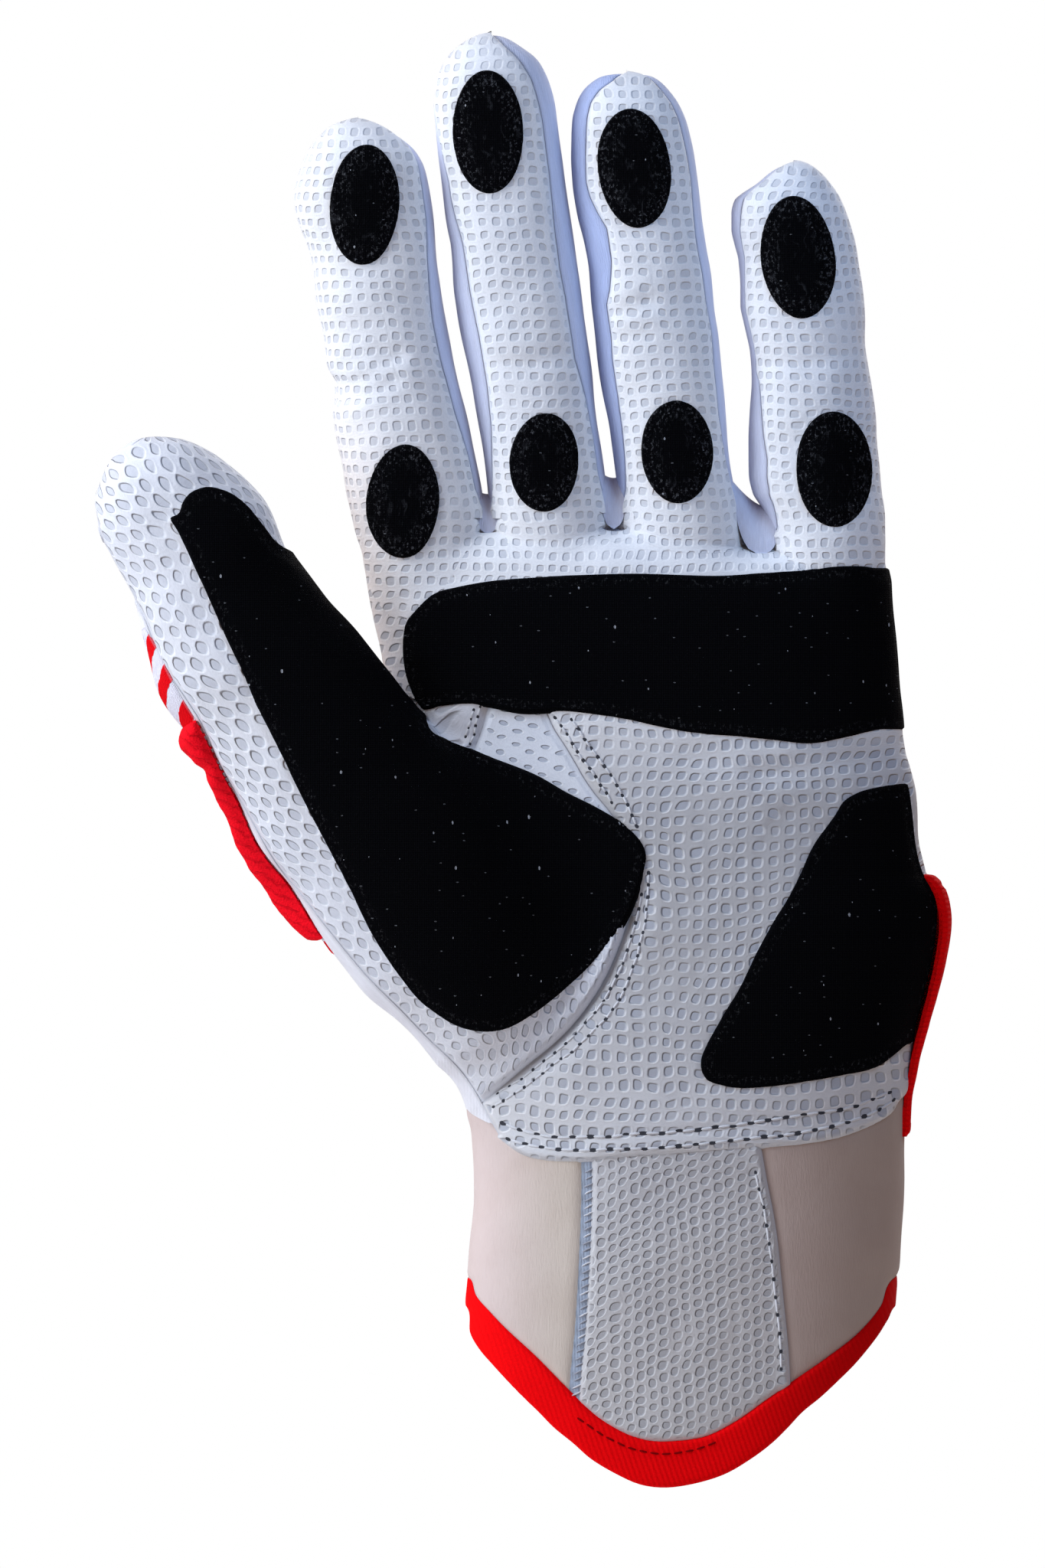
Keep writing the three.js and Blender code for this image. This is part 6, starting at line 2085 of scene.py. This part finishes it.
def face_out(part):
    A, T = part
    n = np.cross(A[T[:, 1], 0:3] - A[T[:, 0], 0:3], A[T[:, 2], 0:3] - A[T[:, 0], 0:3])
    wrong = (n * A[T, 3:6].sum(1)).sum(1) < 0
    T = T.copy()
    T[wrong] = T[wrong][:, ::-1]
    return A, T


rng = np.random.default_rng(7)
TREE = tree_of({"skin_" + n for n in ("palm_leather", "thumb_base_leather", "thumb_crotch_insert", "cuff_radial_panel", "cuff_centre_panel", "cuff_ulnar_panel",
                                      "cuff_seam_tape", "cuff_binding", "palm_band_grip", "thumb_grip_base", "heel_grip")})
PATCHES = tree_of({"skin_palm_band_grip", "skin_thumb_grip_base", "skin_heel_grip"})


def hidden(c, r):
    return drop(PATCHES, c, r) is not None


def sew(line, pitch, size, thread_parts, hole_parts, radius=0.2, gap=0.2, rise=0.07, flat=1.0, covered=True):
    at_ = rows_at(line, pitch)
    at_ = at_ + rng.normal(0, 0.35, at_.shape)
    spots = []
    for c, r in at_:
        if covered and hidden(c, r):
            spots.append(None)
            continue
        spots.append(drop(TREE, c, r))
    for i, spot in enumerate(spots):
        if spot is None:
            continue
        p, n = spot
        nxt = spots[i + 1] if i + 1 < len(spots) else None
        prev = spots[i - 1] if i else None
        other = nxt or prev
        if other is None:
            continue
        way = other[0] - p if nxt else p - other[0]
        k = rng.uniform(0.85, 1.15)
        hole_parts.append(disc(p, n, way, size * flat * k * 1.05, size * 0.78 * k))
        if nxt is None:
            continue
        q, m = nxt
        d = q - p
        L = np.linalg.norm(d)
        if L > pitch * K * 2.2:
            continue
        d /= L
        a, b = p + d * (size * flat * 0.75 + gap * 0.3), q - d * (size * flat * 0.75 + gap * 0.3)
        mid = (n + m) / 2
        pts = [a - n * 0.1, a + (b - a) * 0.16 + n * rise * 0.6, (a + b) / 2 + mid * rise, a + (b - a) * 0.84 + m * rise * 0.6, b - m * 0.1]
        thread_parts.append(tube(pts, [radius * 0.7, radius, radius * 1.08, radius, radius * 0.7]))


white_threads, holes, grey_threads = [], [], []
for key, (line, pitch, size) in ROWS.items():
    sew(ROW_LINES[key], pitch, size * (1.18 if key.startswith("hem") else 1.1), white_threads, holes, flat=1.35 if key.startswith("hem") else 1.0, radius=0.24 if key.startswith("hem") else 0.2)
# the left cuff seam is overcast: short slanting threads from the tape to the leather's edge
for c, r in rows_at(E_CLEFT[(E_CLEFT[:, 1] > 1522) & (E_CLEFT[:, 1] < 1826)], 9.5):
    if r > np.interp(c, E_BTOP[:, 0], E_BTOP[:, 1]) - 4:
        continue
    spots = [drop(TREE, c + dx + rng.normal(0, 0.5), r + dy) for dx, dy in ((-8, 3.5), (-4, 1.6), (0.5, -0.8), (3.0, -2.2))]
    if all(x is not None for x in spots):
        pts = [x[0] + x[1] * h for x, h in zip(spots, (-0.1, 0.12, 0.14, -0.12))]
        (grey_threads if rng.random() < 0.6 else white_threads).append(tube(pts, [0.1, 0.15, 0.15, 0.1]))
binding_row = spline([(752, 1845), (775, 1862), (800, 1876), (830, 1888), (860, 1893), (900, 1889), (935, 1877)], step=5)
dark_red = []
sew(binding_row, 15, 0.22, dark_red, [], radius=0.17, gap=0.5, rise=0.06)
for name, parts, mat in (("stitches_white", white_threads, THREAD), ("stitches_grey", grey_threads, THREAD_GREY), ("needle_holes", holes, HOLE),
                         ("stitches_red", dark_red, THREAD_RED)):
    if parts:
        make_object("skin_" + name, *face_out(join(parts)), mat, "hand", "stretch_fabric")


# ---------------------------------------------------------------- camera, floor and light
def area_light(name, place_at, look_at, size, power, colour=(1, 1, 1)):
    data = bpy.data.lights.new(name, "AREA")
    data.shape = "DISK"
    data.size = size
    data.energy = power
    data.color = colour
    ob = bpy.data.objects.new(name, data)
    bpy.context.scene.collection.objects.link(ob)
    ob.location = place_at
    ob.visible_camera = False
    ob.rotation_euler = (Vector(look_at) - Vector(place_at)).to_track_quat("-Z", "Y").to_euler()
    return ob


CX, CZ = (682.5 - OX) * K / 1000, (OZ - 1024) * K / 1000
DIST = 3.2
cam_data = bpy.data.cameras.new("photo_camera")
cam_data.sensor_fit = "VERTICAL"
cam_data.sensor_height = 24
cam_data.lens = 24 * DIST / (2048 * K / 1000)
cam_data.clip_start, cam_data.clip_end = 0.05, 20
cam = bpy.data.objects.new("photo_camera", cam_data)
bpy.context.scene.collection.objects.link(cam)
cam.location = (CX, -DIST, CZ)
cam.rotation_euler = (math.radians(90), 0, 0)
bpy.context.scene.camera = cam

bpy.ops.mesh.primitive_circle_add(vertices=96, radius=0.45, fill_type="NGON", location=(0, 0, -0.12))
floor = bpy.context.object
floor.name = "studio_floor"
fm = Nodes("floor_pale")
fm.colour(fm.mix(fm.noise(fm.place(), 30, 3), (0.84, 0.84, 0.85), (0.87, 0.87, 0.87)))
fm.rough(0.7)
floor.data.materials.append(fm.mat)

world = bpy.context.scene.world or bpy.data.worlds.new("world")
bpy.context.scene.world = world
world.use_nodes = True
nt = world.node_tree
nt.nodes.clear()
out = nt.nodes.new("ShaderNodeOutputWorld")
lit, seen, mix, path = nt.nodes.new("ShaderNodeBackground"), nt.nodes.new("ShaderNodeBackground"), nt.nodes.new("ShaderNodeMixShader"), nt.nodes.new("ShaderNodeLightPath")
lit.inputs["Color"].default_value = (1.0, 0.66, 0.50, 1)
lit.inputs["Strength"].default_value = 0.195
seen.inputs["Color"].default_value = (1, 1, 1, 1)
seen.inputs["Strength"].default_value = 1.0
nt.links.new(path.outputs["Is Camera Ray"], mix.inputs[0])
nt.links.new(lit.outputs[0], mix.inputs[1])
nt.links.new(seen.outputs[0], mix.inputs[2])
nt.links.new(mix.outputs[0], out.inputs[0])
key = area_light("key", (-0.6, -0.25, 0.2), (-0.02, 0, 0.12), 0.35, 2.55, (0.75, 0.857, 1))
high = area_light("high_key", (-0.42, -0.2, 0.5), (-0.02, 0, 0.13), 0.3, 2.3, (0.8, 0.88, 1))
rim = area_light("rim", (-0.5, 0.28, 0.34), (-0.02, 0, 0.12), 0.3, 0.9, (1, 0.97, 0.95))
back = area_light("back_fill", (0.35, 0.75, 0.5), (0, 0, 0.1), 0.7, 3.4, (1, 0.98, 0.97))
cool = area_light("cool_fill", (0.13, -0.17, 0.31), (0, 0, 0.15), 0.12, 0.30, (0.37, 0.63, 1))
bpy.context.scene.view_settings.view_transform = "Standard"
